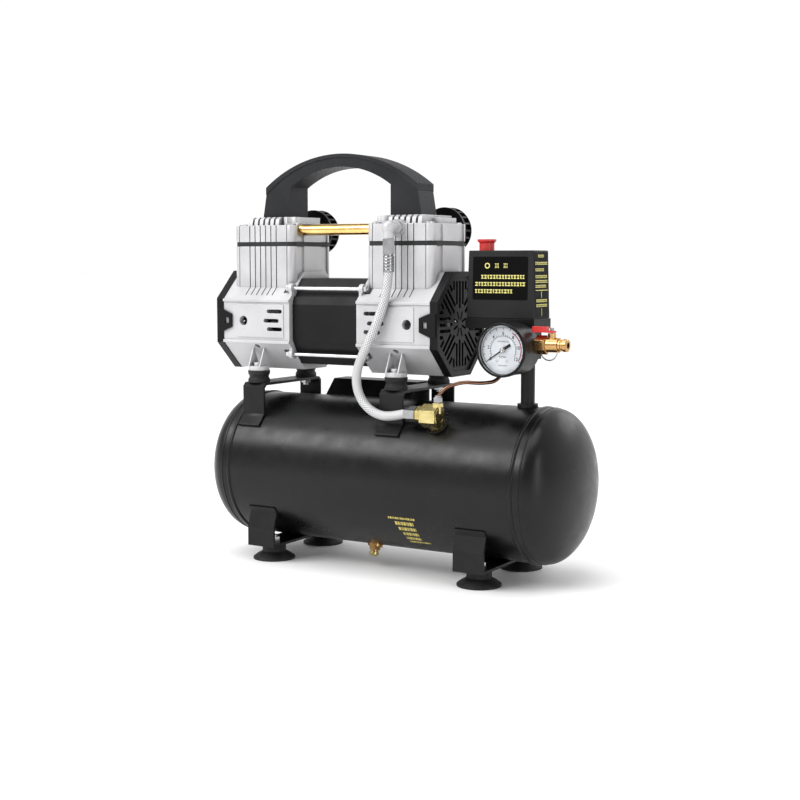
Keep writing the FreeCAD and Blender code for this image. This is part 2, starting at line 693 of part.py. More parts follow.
def make_end_covers():
    """Black grille over the open end of each crankcase, with a snap tab front and back."""
    near, far = D.case_far, D.case_far + D.cover_depth
    shell = less(extruded("YZ_Plane", octagon(shrink=-0.8), across(1, near, far)),
                 extruded("YZ_Plane", octagon(shrink=3.4), across(1, near - 1, far - 5)),
                 extruded("YZ_Plane", octagon(shrink=4.6), across(1, far - 2.4, far + 1)))
    slots = []
    start_x, end_x = across(1, far - 6, far + 1)
    for sector in range(8):
        turn = Rotation(Vector(1, 0, 0), sector * 45.0)
        for step in range(-2, 3):
            offset = step * 6.6
            inner = max(17.0, abs(offset) / math.tan(math.radians(22.5)) + 5.0)
            slot = doc.addObject("Part::Box", "Slot")
            bind(slot, Length=end_x - start_x, Width=3.7, Height=46.0 - inner)
            shift = turn.multVec(Vector(0, offset - 1.85, inner))
            place(slot, (start_x, shift.y, D.shaft_z + shift.z), turn)
            slots.append(slot)
        star = doc.addObject("Part::Box", "StarSlot")
        bind(star, Length=end_x - start_x, Width=2.4, Height=9.5)
        turn = Rotation(Vector(1, 0, 0), sector * 45.0 + 22.5)
        shift = turn.multVec(Vector(0, -1.2, 5.0))
        slots.append(place(star, (start_x, shift.y, D.shaft_z + shift.z), turn))
    grille = less(shell, *slots)
    tabs = []
    face = D.case_half + 0.2
    for side in (-1, 1):
        xs = (D.pump_x + near - 12.5, D.pump_x + far - 2)
        outline = [(xs[0], D.shaft_z - 7.5), (D.pump_x + near, D.shaft_z - 12.5),
                   (xs[1], D.shaft_z - 12.5), (xs[1], D.shaft_z + 12.5),
                   (D.pump_x + near, D.shaft_z + 12.5), (xs[0], D.shaft_z + 7.5)]
        ys = (-face - 2.2, -face) if side < 0 else (face, face + 2.2)
        window = box((xs[0] + 4, xs[0] + 9.5), (ys[0] - 1, ys[1] + 1),
                     (D.shaft_z - 3.2, D.shaft_z + 3.2))
        tabs.append(less(extruded("XZ_Plane", outline, ys), window))
    cover = joined(grille, *tabs)
    node("end_covers", group(cover, mirrored(cover, D.pump_x)))


# ----------------------------------------------------------- motor, running gear

def make_motor():
    half = D.stator_half
    low, high = D.stator_bottom, D.stator_top
    outline = [(-half, 250), (-30, low), (30, low), (half, 250), (half, 290), (half - 3, 299),
               (half - 6, 299), (28, high), (-28, high), (6 - half, 299), (3 - half, 299),
               (-half, 290)]
    span = across(1, -D.case_near, D.case_near)
    core = extruded("YZ_Plane", outline, span)
    bores = [rod((D.pump_x - D.case_near - 1, 0, D.shaft_z), D.rotor_bore, 100, "x")]
    for side, axis in ((-1, "-x"), (1, "x")):
        bores.append(rod((D.pump_x + 26.0 * side, 0, D.shaft_z), 38, 30, axis))
    node("stator", less(core, *bores))
    coils = []
    for side, axis in ((-1, "-x"), (1, "x")):
        at = (D.pump_x + 26.0 * side, 0, D.shaft_z)
        coils.append(turned([(27, 0), (37, 0), (37, 10), (34, 13), (30, 13), (27, 10)], at, axis))
    node("windings", group(*coils))


def make_rotor():
    shaft = rod((D.pump_x - 131, 0, D.shaft_z), D.shaft_radius, 262, "x")
    core = rod((D.pump_x - 27, 0, D.shaft_z), D.rotor_bore - 0.6, 54, "x")
    node("rotor_shaft", joined(shaft, core))
    rings = []
    for side, axis in ((-1, "-x"), (1, "x")):
        at = (D.pump_x + (D.case_near + 1) * side, 0, D.shaft_z)
        rings.append(turned([(D.shaft_radius + 0.05, 0), (14.0, 0), (14.0, 9),
                             (D.shaft_radius + 0.05, 9)], at, axis))
    node("bearings", group(*rings))
    cams = []
    fans = []
    for side, axis in ((-1, "-x"), (1, "x")):
        throw = D.crank_throw * -side
        x = D.pump_x + (D.bore_reach - 8) * side
        cam = rod((x, 0, D.shaft_z + throw), D.eccentric_radius, 16, axis)
        xs = across(side, D.bore_reach + 9, D.bore_reach + 14)
        weight = common(rod((D.pump_x + (D.bore_reach + 9) * side, 0, D.shaft_z), 30, 5, axis),
                        box(xs, (-30, 30), (D.shaft_z - 31, D.shaft_z + 2) if side < 0
                            else (D.shaft_z - 2, D.shaft_z + 31)))
        hub = rod((D.pump_x + (D.bore_reach + 8) * side, 0, D.shaft_z), 9, 7, axis)
        bore = rod((D.pump_x + 60 * side, 0, D.shaft_z), D.shaft_radius, 60, axis)
        cams.append(less(joined(cam, weight, hub), bore))
        fan_x = D.pump_x + (D.bore_reach + 26) * side
        blades = [rod((fan_x, 0, D.shaft_z), 12, 12, axis)]
        low, high = across(side, D.bore_reach + 26, D.bore_reach + 38)
        for index in range(9):
            turn = Rotation(Vector(1, 0, 0), index * 40.0)
            shift = turn.multVec(Vector(0, -1.0, 10.0))
            blade = doc.addObject("Part::Box", "Blade")
            bind(blade, Length=high - low, Width=2.0, Height=30.0)
            blades.append(place(blade, (low, shift.y, D.shaft_z + shift.z), turn))
        fans.append(less(joined(*blades), rod((fan_x, 0, D.shaft_z), D.shaft_radius, 14, axis)))
    node("eccentrics", group(*cams))
    node("cooling_fans", group(*fans))


def make_pistons():
    for side, name in ((-1, "piston_left"), (1, "piston_right")):
        x = D.pump_x + D.bore_reach * side
        centre = D.shaft_z + D.crank_throw * -side
        crown = centre + 76
        big_end = rod((x - 6, 0, centre), D.eccentric_radius + 5, 12, "x")
        stem = box((x - 4, x + 4), (-7, 7), (centre + 14, crown - 6))
        disc = rod((x, 0, crown - 7), D.piston_radius, 7)
        node(name, less(joined(big_end, stem, disc),
                        rod((x - 7, 0, centre), D.eccentric_radius + 0.06, 14, "x")))


def make_tie_rods():
    pieces = []
    reach = D.case_near + 10
    for z in (D.rod_upper_z, D.rod_lower_z):
        for side in (-1, 1):
            y = D.rod_y * side
            pieces.append(joined(
                rod((D.pump_x - reach, y, z), D.rod_radius, reach * 2, "x"),
                hexagon((D.pump_x - D.case_near - 5, y, z), 8, 3.6, "-x"),
                hexagon((D.pump_x + D.case_near + 5, y, z), 8, 3.6, "x")))
    node("tie_rods", group(*pieces))


# ----------------------------------------------------------------------- handle

def make_handle():
    mid = D.pump_x
    half = D.handle_half_depth
    leg_in, leg_out, ledge = D.handle_leg_in, D.handle_leg_out, D.handle_grip_out
    foot = D.fin_top + 0.1
    seam = D.handle_grip_z - D.grip_thick + 1
    thin = 4.0
    crown_rise = D.handle_crown - seam - thin
    under_rise = D.handle_under - D.handle_corner_z
    frame = [(mid - leg_out, foot), (mid - leg_in, foot),
             (mid - leg_in, D.handle_corner_z, -under_rise), (mid + leg_in, D.handle_corner_z),
             (mid + leg_in, foot), (mid + leg_out, foot), (mid + ledge, seam, crown_rise),
             (mid - ledge, seam)]
    arch = extruded("XZ_Plane", frame, (-half, half))
    holes = [rod((mid + (leg_in + 19) * side, 0, foot - 1), 3.4, 14) for side in (-1, 1)]
    node("handle_frame", less(arch, *holes))
    skin = D.grip_thick
    grip = [(mid + ledge, seam), (mid + ledge, seam + skin, D.handle_crown - seam - skin),
            (mid - ledge, seam + skin), (mid - ledge, seam, -crown_rise)]
    band = extruded("XZ_Plane", grip, (-half - 0.8, half + 0.8))
    node("handle_grip", band)


# --------------------------------------------------------------------- air line

def rounded_wire(points):
    """Straight runs joined by tangent arcs, each as large as its two runs allow."""
    spots = [Vector(*point) for point in points]
    edges = []
    radii = []
    start = spots[0]
    for before, here, after in zip(spots, spots[1:], spots[2:]):
        into, away = (here - before), (after - here)
        reach = 0.45 * min(into.Length, away.Length)
        into.normalize()
        away.normalize()
        half_turn = into.getAngle(away) / 2
        radii.append(round(reach / math.tan(half_turn), 1))
        first, last = here - into * reach, here + away * reach
        bisector = (away - into).normalize()
        centre = here + bisector * (reach / math.sin(half_turn))
        middle = centre - bisector * (reach / math.tan(half_turn))
        edges.append(Part.LineSegment(start, first).toShape())
        edges.append(Part.Arc(first, middle, last).toShape())
        start = last
    edges.append(Part.LineSegment(start, spots[-1]).toShape())
    return Part.Wire(edges), radii


def piped(name, points, radius):
    """A round bar along a route, checked against section times length."""
    wire, radii = rounded_wire(points)
    along = (Vector(*points[1]) - Vector(*points[0])).normalize()
    circle = Part.Wire(Part.Circle(Vector(*points[0]), along, radius.number).toShape())
    shape = wire.makePipeShell([circle], True, True)
    thing = doc.addObject("Part::Feature", "Pipe")
    thing.Shape = shape
    ideal = math.pi * radius.number ** 2 * wire.Length
    print(name, "length", round(wire.Length, 1), "radii", radii,
          "volume ratio", round(shape.Volume / ideal, 4))
    return node(name, thing)


HOSE_ROUTE = [
    (20.5, -57.0, 327.0), (19.5, -59.0, 305.0), (10.0, -62.0, 275.0), (-2.5, -64.0, 248.0),
    (-9.8, -65.2, 234.0), (-14.3, -66.0, 220.5), (-14.6, -66.6, 205.0), (-8.6, -67.0, 190.7),
    (2.4, -67.3, 179.8), (16.8, -67.0, 174.0), (32.2, -65.8, 174.6), (46.0, -64.0, 178.0),
]

UNLOADER_ROUTE = [
    (84.0, -62.5, 198.0), (92.0, -60.0, 207.5), (108.0, -53.5, 213.5), (125.0, -44.0, 212.0),
    (136.0, -31.0, 213.5), (138.0, -18.0, 224.0), (138.5, -11.0, 243.0), (139.0, -10.0, 261.0),
]


def make_air_line():
    x, y, z = D.elbow_x, D.elbow_y, D.elbow_z
    start = -D.barrel_half_y - 2
    elbow = joined(rod((x, y, z), 6.4, start - y, "y"), hexagon((x, start - 4.5, z), 14, 4.5, "y"),
                   ball((x, y, z), 7.2), rod((x, y, 362), 5.6, z - 362),
                   rod((x, start, z), 4.9, 12, "y"))
    node("hose_elbow", less(elbow, rod((x, y, 361), 3, z - 361)))
    upper = joined(hexagon((x, y, 346), 12.4, 16), rod((x, y, 344), 5.0, 2), rod((x, y, 327), 5.5, 17))
    port = D.port_z
    lower = joined(hexagon((46.4, D.valve_y, port), 15, 13.4, "x"),
                   rod((46.0, D.valve_y, port), 6.2, 3, "x"))
    piped("braided_hose", HOSE_ROUTE, D.hose_radius)

    vx, vy = D.valve_x, D.valve_y
    tube_x, tube_y = 84.0, -62.5
    thread, turn = valve_stand(-2)
    collar, turn = valve_stand(2.5)
    body = joined(less(rod(thread, 6.0, 12, turn), tank_solid()), rod(collar, 9.5, 7, turn),
                  hexagon((vx - 10.5, vy, port - 1), 22, 18.5, "x"),
                  rod((vx - 11.5, vy, port - 1), 9.6, 20.5, "x"),
                  rod((59.8, vy, port), 6.4, vx - 59.8, "x"), hexagon((61, vy, port), 15.5, 6, "x"),
                  rod((tube_x, tube_y, port + 2), 5.2, 8), hexagon((tube_x, tube_y, port + 9), 11, 4))
    node("check_valve", body)
    nuts = [joined(hexagon((tube_x, tube_y, port + 14), 9, 5),
                   rod((tube_x, tube_y, port + 13), 3.4, 8)),
            joined(hexagon((139.0, -10.0, 261), 9, 4), rod((139.0, -10.0, 264), 4, 4))]
    node("line_fittings", group(upper, lower, *nuts))
    piped("unloader_tube", UNLOADER_ROUTE, D.tube_radius)


# ------------------------------------------------- riser, gauge, outlet, switch

def make_riser_and_manifold():
    x = D.riser_x
    riser = joined(rod((x, 0, 180), D.riser_radius, D.block_bottom - 180), rod((x, 0, 180), 11, 9))
    node("riser_pipe", less(riser, tank_solid()))
    half = D.block_half
    drum = rod((D.gauge_x, D.drum_back, D.gauge_z), D.gauge_radius, D.drum_back - D.gauge_back, "-y")
    block = box((x - half, x + half), (D.drum_back - 3, 10), (D.block_bottom, D.switch_bottom))
    ports = [rod((D.gauge_x + D.gauge_radius - 9, D.outlet_y, D.outlet_z), 5.0, 12, "x"),
             rod((x + half - 8, D.relief_y, D.relief_z), 4.0, 9, "x")]
    node("manifold_drum", less(joined(drum, block), *ports))


def make_gauge():
    x, z = D.gauge_x, D.gauge_z
    front, back, r = D.gauge_front, D.gauge_back, D.gauge_radius
    deep = back - front
    lip = 0.7
    case = turned([(0, 0), (r, 0), (r, deep - 7.5), (r + lip, deep - 7.0), (r + lip, deep - 1.2),
                   (r - 0.2, deep), (r - 1.9, deep), (r - 1.9, 4), (0, 4)], (x, back, z), "-y")
    node("gauge_case", case)
    node("gauge_dial", rod((x, back - 4.1, z), r - 2.1, 0.9, "-y"))
    node("gauge_lens", rod((x, front + 2.6, z), r - 2.1, 1.2, "-y"))
    pointer_y = back - 5.6
    # at no pressure the point lies below and to the left of the middle
    turn = Rotation(Vector(0, 1, 0), -90.0 - D.needle_rest.number)
    blade = doc.addObject("Part::Wedge", "Pointer")
    bind(blade, Xmin=-1.0, Xmax=1.0, X2min=-0.35, X2max=0.35, Ymin=-8.0, Ymax=20.0,
         Zmin=0.0, Zmax=0.7, Z2min=0.0, Z2max=0.7)
    place(blade, (x, pointer_y, z), turn.multiply(Rotation(Vector(1, 0, 0), 90)))
    tail = doc.addObject("Part::Box", "Tail")
    bind(tail, Length=2.8, Width=0.7, Height=10.0)
    offset = turn.multVec(Vector(-1.4, -0.7, -10.0))
    place(tail, (x + offset.x, pointer_y + offset.y, z + offset.z), turn)
    needle = joined(blade, tail, rod((x, pointer_y + 0.3, z), 2.6, 2.0, "-y"))
    node("gauge_needle", needle)


def make_outlet():
    y, z = D.outlet_y, D.outlet_z
    start = D.gauge_x + D.gauge_radius
    pivot = D.lever_x
    body = joined(rod((start - 8, y, z), 4.9, 9, "x"), hexagon((start + 0.1, y, z), 17, 6, "x"),
                  rod((start + 6, y, z), 5.8, pivot - start - 14, "x"),
                  hexagon((pivot - 10, y, z), 17, 5, "x"), rod((pivot - 6, y, z), 7.6, 14, "x"),
                  rod((pivot, y, z), 4.2, 12))
    body = less(body, ball((pivot, y, z), 5.3), rod((start - 8, y, z), 3.0, 60, "x"),
                rod((pivot, y, z), 2.06, 20))
    node("outlet_valve", body)
    core = joined(ball((pivot, y, z), 5.0), rod((pivot, y, z), 2.0, 17.6))
    node("outlet_valve_ball", less(core, rod((pivot - 6, y, z), 2.9, 12, "x")))
    arm = joined(box((pivot - 9, pivot + 3), (y - 3.5, y + 3.5), (z + 12.6, z + 14.6)),
                 rod((pivot, y, z + 12.6), 4.2, 2.0),
                 box((pivot - 18, pivot - 5), (y - 4.2, y + 4.2), (z + 12.8, z + 18.6)),
                 rod((pivot - 18, y, z + 12.8), 4.2, 5.8))
    node("outlet_lever", less(arm, rod((pivot, y, z + 12), 2.0, 4)))
    tip = pivot + 8.1
    coupler = turned([(3.2, 0), (6.4, 0), (6.4, 2.4), (5.4, 3.0), (5.4, 4.6), (6.6, 5.2),
                      (6.6, 9.0), (5.6, 9.8), (3.2, 9.8)], (tip, y, z), "x")
    node("quick_coupler", coupler)


def make_safety_valve():
    x, y, z = D.relief_x, D.relief_y, D.relief_z
    start = D.riser_x + D.block_half
    body = joined(rod((start - 7, y, z), 3.9, x - start + 7, "x"), ball((x, y, z), 5.4),
                  rod((x, y, z), 5.0, 11, "y"), hexagon((x, y + 5, z), 10.4, 4, "y"))
    node("safety_valve", less(body, rod((x, y + 4, z), 1.9, 9, "y")))
    stem = joined(rod((x, y + 5, z), 1.6, 13, "y"), rod((x, y + 11.6, z), 2.6, 2.2, "y"),
                  rod((x, y + 17, z), 2.2, 1.6, "y"))
    node("safety_stem", less(stem, rod((x - 4, y + 15.4, z), 1.1, 8, "x")))
    node("safety_ring", ring((x, y + 15.4, z - D.ring_radius), D.ring_radius, 0.8, "y"))


def tapered(half_x, half_y, draft, zs, x):
    """A box that draws in by draft on every side towards the top."""
    thing = doc.addObject("Part::Wedge", "Tapered")
    low, high = as_size(zs[0]), as_size(zs[1])
    bind(thing, Xmin=-half_x, Xmax=half_x, Zmin=-half_y, Zmax=half_y, Ymin=0.0, Ymax=high - low,
         X2min=draft - half_x, X2max=half_x - draft, Z2min=draft - half_y, Z2max=half_y - draft)
    return place(thing, (x, 0, low), Rotation(Vector(1, 0, 0), 90))


def make_pressure_switch():
    left, right, half = D.switch_left, D.switch_right, D.switch_half
    mid = (left + right) / 2
    half_x = (right - left) / 2
    bottom, split, top = D.switch_bottom, D.switch_split, D.switch_top
    base = less(box((left, right), (-half, half), (bottom, split)),
                box((left + 3, right - 3), (3 - half, half - 3), (bottom + 3, split + 1)))
    node("switch_base", base)
    cover = less(tapered(half_x - 0.8, half - 0.8, as_size(1.6), (split, top), mid),
                 tapered(half_x - 2.8, half - 2.8, as_size(1.6), (split - 1, top - 2), mid),
                 rod((D.knob_x, 0, top - 5), 8.4, 10))
    node("switch_cover", cover)
    works = joined(box((left + 8, right - 8), (-12, 12), (bottom + 3, bottom + 34)),
                   box((D.knob_x - 9, D.knob_x + 9), (-9, 9), (bottom + 30, top - 18)))
    node("switch_contacts", works)
    knob = turned([(0, 0), (8.0, 0), (8.0, 15.2), (10.0, 17.2), (10.0, 19.4), (7.4, 19.4),
                   (6.6, 18.4), (0, 18.4)], (D.knob_x, 0, D.knob_top - 19.4))
    node("switch_knob", knob)


def check_and_export():
    doc.recompute()
    failed = [thing.Name for thing in doc.Objects
              if "Invalid" in thing.State or "Error" in thing.State]
    if failed:
        raise RuntimeError("failed features: %s" % ", ".join(failed))
    os.makedirs("parts", exist_ok=True)
    for name, thing in NODES.items():
        shape = thing.Shape
        if shape.isNull() or not shape.isValid() or not shape.Solids:
            raise RuntimeError("bad shape: %s" % name)
    for name, thing in NODES.items():
        thing.Shape.exportStep("parts/%s.step" % name)
    print(len(NODES), "nodes written")


make_tank()
make_foot_brackets()
make_feet()
make_saddles()
make_rubber_mounts()
make_wiring_box()
make_drain()
make_crankcase()
make_cylinder()
make_valve_plates()
make_head()
make_head_bolts()
make_crossover_pipe()
make_air_filters()
make_end_covers()
make_motor()
make_rotor()
make_pistons()
make_tie_rods()
make_handle()
make_air_line()
make_riser_and_manifold()
make_gauge()
make_outlet()
make_safety_valve()
make_pressure_switch()
check_and_export()
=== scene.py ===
import math

import bmesh
import bpy
from mathutils import Matrix, Vector


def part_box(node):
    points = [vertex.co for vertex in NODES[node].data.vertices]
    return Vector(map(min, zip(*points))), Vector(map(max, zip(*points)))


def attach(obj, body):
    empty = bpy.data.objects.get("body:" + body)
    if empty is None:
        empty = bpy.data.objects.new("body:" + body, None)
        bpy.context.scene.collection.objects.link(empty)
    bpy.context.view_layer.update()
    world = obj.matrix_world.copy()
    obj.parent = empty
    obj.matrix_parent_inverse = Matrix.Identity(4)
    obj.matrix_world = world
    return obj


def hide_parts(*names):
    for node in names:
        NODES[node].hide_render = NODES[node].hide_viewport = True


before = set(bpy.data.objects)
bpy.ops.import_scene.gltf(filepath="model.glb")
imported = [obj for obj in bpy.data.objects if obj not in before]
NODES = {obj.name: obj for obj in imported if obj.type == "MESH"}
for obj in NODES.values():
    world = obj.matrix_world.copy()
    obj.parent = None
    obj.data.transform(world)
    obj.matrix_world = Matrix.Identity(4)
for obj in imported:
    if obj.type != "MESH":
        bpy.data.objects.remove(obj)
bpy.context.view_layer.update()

# Looks of the oil-free twin-cylinder air compressor. Metres, in the CAD model's frame:
# +X along the tank, -Y to the hose and gauge side, +Z up.

MM = 0.001


# ------------------------------------------------------------- camera and stage

SENSOR_WIDTH = 36.0
FOCAL_LENGTH = 61.88
CAMERA_PLACE = (0.78349, -1.30758, 0.33861)
CAMERA_TARGET = (0.00039, 0.0, 0.18442)


def make_camera():
    data = bpy.data.cameras.new("camera")
    data.sensor_width = SENSOR_WIDTH
    data.lens = FOCAL_LENGTH
    camera = bpy.data.objects.new("camera", data)
    camera.location = CAMERA_PLACE
    ahead = Vector(CAMERA_TARGET) - camera.location
    camera.rotation_euler = ahead.to_track_quat("-Z", "Y").to_euler()
    bpy.context.scene.collection.objects.link(camera)
    bpy.context.scene.camera = camera


def link_object(name, data):
    thing = bpy.data.objects.new(name, data)
    bpy.context.scene.collection.objects.link(thing)
    return thing


# ------------------------------------------------------------------------- hose

HOSE_ROUTE = [
    (0.0205, -0.0570, 0.3270), (0.0195, -0.0590, 0.3050), (0.0100, -0.0620, 0.2750),
    (-0.0025, -0.0640, 0.2480), (-0.0098, -0.0652, 0.2340), (-0.0143, -0.0660, 0.2205),
    (-0.0146, -0.0666, 0.2050), (-0.0086, -0.0670, 0.1907), (0.0024, -0.0673, 0.1798),
    (0.0168, -0.0670, 0.1740), (0.0322, -0.0658, 0.1746), (0.0460, -0.0640, 0.1780),
]
HOSE_DIAMETER = 10.0 * MM
# strands that lean each way, wires in each, and a strand's turns over the hose's length
STRANDS = 10
WIRES = 7.0
TURNS = 6.0
WEAVE_DEPTH = 0.60 * MM


def centre_line(route, name):
    """Points along the smooth spline whose control points are the route's."""
    curve = bpy.data.curves.new(name, "CURVE")
    curve.dimensions = "3D"
    curve.resolution_u = 32
    spline = curve.splines.new("NURBS")
    spline.points.add(len(route) - 1)
    for point, place in zip(spline.points, route):
        point.co = (*place, 1.0)
    spline.order_u = 3
    spline.use_endpoint_u = True
    guide = link_object(name, curve)
    bpy.context.view_layer.update()
    line = bpy.data.meshes.new_from_object(guide)
    points = [vertex.co.copy() for vertex in line.vertices]
    bpy.data.objects.remove(guide)
    bpy.data.meshes.remove(line)
    return points


def evenly(points, count):
    """The same line as count + 1 points at equal steps."""
    reach = [0.0]
    for a, b in zip(points, points[1:]):
        reach.append(reach[-1] + (b - a).length)
    total = reach[-1]
    result = []
    index = 0
    for step in range(count + 1):
        goal = total * step / count
        while index < len(points) - 2 and reach[index + 1] < goal:
            index += 1
        span = reach[index + 1] - reach[index]
        share = 0.0 if span == 0 else (goal - reach[index]) / span
        result.append(points[index].lerp(points[index + 1], share))
    return result


def tube(name, points, around, radius_at):
    """A closed tube along points. radius_at(share along, share around) gives its radius."""
    mesh = bmesh.new()
    uv = mesh.loops.layers.uv.new("UVMap")
    ahead = (points[1] - points[0]).normalized()
    side = ahead.orthogonal().normalized()
    rings = []
    last = len(points) - 1
    for index, point in enumerate(points):
        tangent = (points[min(index + 1, last)] - points[max(index - 1, 0)]).normalized()
        side = (side - tangent * side.dot(tangent)).normalized()
        other = tangent.cross(side)
        ring = []
        for step in range(around):
            angle = 2 * math.pi * step / around
            out = side * math.cos(angle) + other * math.sin(angle)
            ring.append(mesh.verts.new(point + out * radius_at(index / last, step / around)))
        rings.append(ring)
    for index in range(last):
        for step in range(around):
            after = (step + 1) % around
            face = mesh.faces.new((rings[index][step], rings[index][after],
                                   rings[index + 1][after], rings[index + 1][step]))
            face.smooth = True
            corners = ((index, step), (index, step + 1), (index + 1, step + 1), (index + 1, step))
            for loop, (along, turn) in zip(face.loops, corners):
                loop[uv].uv = (turn / around, along / last)
    mesh.faces.new(list(reversed(rings[0])))
    mesh.faces.new(rings[-1])
    data = bpy.data.meshes.new(name)
    mesh.to_mesh(data)
    mesh.free()
    return link_object(name, data)


def make_hose():
    """Braided steel hose: two sets of flat strands that pass over and under each other."""
    length_steps = 560
    around = 72
    points = evenly(centre_line(HOSE_ROUTE, "hose_line"), length_steps)
    radius = HOSE_DIAMETER / 2

    def surface(along, turn):
        left_angle = math.pi * STRANDS * (turn + along * TURNS)
        right_angle = math.pi * STRANDS * (turn - along * TURNS)
        left = math.cos(left_angle)
        right = math.cos(right_angle)
        over = 0.5 + 0.5 * math.cos(left_angle + right_angle)
        weave = over * abs(left) ** 0.6 + (1 - over) * abs(right) ** 0.6
        return radius - WEAVE_DEPTH + WEAVE_DEPTH * weave

    hose = tube("steel_braid_hose", points, around, surface)
    hose.data.materials.append(braid_finish())
    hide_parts("braided_hose")
    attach(hose, "frame")


# ------------------------------------------------------------------- materials

class Finish:
    """A procedural material, built a node at a time around one Principled shader."""

    def __init__(self, name, metallic=0.0, roughness=0.5, coat=0.0, coat_roughness=0.1,
                 specular=0.5):
        self.material = bpy.data.materials.new("finish_" + name)
        self.material.use_nodes = True
        self.tree = self.material.node_tree
        self.shader = self.tree.nodes["Principled BSDF"]
        self.fix("Metallic", metallic)
        self.fix("Roughness", roughness)
        self.fix("Specular IOR Level", specular)
        self.fix("Coat Weight", coat)
        self.fix("Coat Roughness", coat_roughness)
        self.place = self.add("ShaderNodeTexCoord").outputs["Object"]
        self.normal = None

    def add(self, kind, **settings):
        node = self.tree.nodes.new(kind)
        for key, value in settings.items():
            setattr(node, key, value)
        return node

    def fix(self, socket, value):
        self.shader.inputs[socket].default_value = value

    def feed(self, socket, value):
        """Put a socket's value or another node's output into an input."""
        if isinstance(value, bpy.types.NodeSocket):
            self.tree.links.new(value, socket)
        elif isinstance(value, tuple) and len(value) == 3:
            socket.default_value = (*value, 1.0)
        else:
            socket.default_value = value

    def scaled(self, stretch):
        """Object coordinates stretched by a factor along each axis."""
        node = self.add("ShaderNodeMapping")
        self.tree.links.new(self.place, node.inputs["Vector"])
        node.inputs["Scale"].default_value = stretch
        return node.outputs["Vector"]

    def noise(self, scale, detail=3.0, where=None, distortion=0.0):
        node = self.add("ShaderNodeTexNoise")
        self.tree.links.new(where or self.place, node.inputs["Vector"])
        node.inputs["Scale"].default_value = scale
        node.inputs["Detail"].default_value = detail
        node.inputs["Distortion"].default_value = distortion
        return node.outputs["Fac"]

    def cells(self, scale, where=None):
        node = self.add("ShaderNodeTexVoronoi")
        self.tree.links.new(where or self.place, node.inputs["Vector"])
        node.inputs["Scale"].default_value = scale
        return node.outputs["Distance"]

    def spread(self, value, low, high, to_low=0.0, to_high=1.0):
        node = self.add("ShaderNodeMapRange")
        for socket, number in zip(list(node.inputs)[:5], (value, low, high, to_low, to_high)):
            self.feed(socket, number)
        return node.outputs["Result"]

    def maths(self, first, second, operation):
        node = self.add("ShaderNodeMath", operation=operation)
        self.feed(node.inputs[0], first)
        self.feed(node.inputs[1], second)
        return node.outputs["Value"]

    def blend(self, share, first, second):
        node = self.add("ShaderNodeMix", data_type="RGBA")
        self.feed(node.inputs["Factor"], share)
        colours = [socket for socket in node.inputs if socket.type == "RGBA"]
        self.feed(colours[0], first)
        self.feed(colours[1], second)
        return [socket for socket in node.outputs if socket.type == "RGBA"][0]

    def colour(self, value):
        self.feed(self.shader.inputs["Base Color"], value)
        return self

    def gloss(self, value):
        self.feed(self.shader.inputs["Roughness"], value)
        return self

    def relief(self, height, depth, strength=1.0):
        node = self.add("ShaderNodeBump")
        node.inputs["Strength"].default_value = strength
        node.inputs["Distance"].default_value = depth
        self.tree.links.new(height, node.inputs["Height"])
        if self.normal is not None:
            self.tree.links.new(self.normal, node.inputs["Normal"])
        self.normal = node.outputs["Normal"]
        self.tree.links.new(self.normal, self.shader.inputs["Normal"])
        return self

    def rounded(self, radius):
        """Light rolls over the edges, and the return value is high along them."""
        node = self.add("ShaderNodeBevel", samples=6)
        node.inputs["Radius"].default_value = radius
        self.normal = node.outputs["Normal"]
        self.tree.links.new(self.normal, self.shader.inputs["Normal"])
        flat = self.add("ShaderNodeNewGeometry").outputs["Normal"]
        dot = self.add("ShaderNodeVectorMath", operation="DOT_PRODUCT")
        self.tree.links.new(self.normal, dot.inputs[0])
        self.tree.links.new(flat, dot.inputs[1])
        return self.spread(dot.outputs["Value"], 0.995, 0.88)

    def shade(self, distance):
        """High in corners and grooves: the mask for painted shade there, and for tarnish in metal.
        """
        node = self.add("ShaderNodeAmbientOcclusion", samples=6)
        node.inputs["Distance"].default_value = distance
        return self.spread(node.outputs["AO"], 0.85, 0.25)


def cast_finish():
    """Shot-blasted die casting with a fine grain, painted shade in its corners and a painted
    highlight along its edges.
    """
    finish = Finish("cast_aluminium", metallic=0.35)
    edge = finish.rounded(0.7 * MM)
    cloud = finish.noise(28.0, 4.0)
    body = finish.blend(finish.spread(cloud, 0.35, 0.65), (0.43, 0.428, 0.44),
                        (0.515, 0.513, 0.525))
    grain = finish.noise(1500.0, 2.0)
    body = finish.blend(finish.spread(grain, 0.3, 0.75, 0.0, 0.30), body, (0.68, 0.68, 0.69))
    # painted shade: darker in corners and grooves, from ambient occlusion
    hollow_shade = finish.maths(finish.shade(7.0 * MM), 0.70, "MULTIPLY")
    body = finish.blend(hollow_shade, body, (0.10, 0.10, 0.105))
    # painted highlight: lighter along the rounded edges
    body = finish.blend(finish.maths(edge, 0.5, "MULTIPLY"), body, (0.82, 0.82, 0.83))
    finish.colour(body)
    finish.gloss(finish.spread(cloud, 0.3, 0.7, 0.42, 0.56))
    finish.relief(grain, 0.10 * MM, 0.55)
    finish.relief(finish.noise(260.0, 3.0), 0.10 * MM, 0.35)
    return finish.material


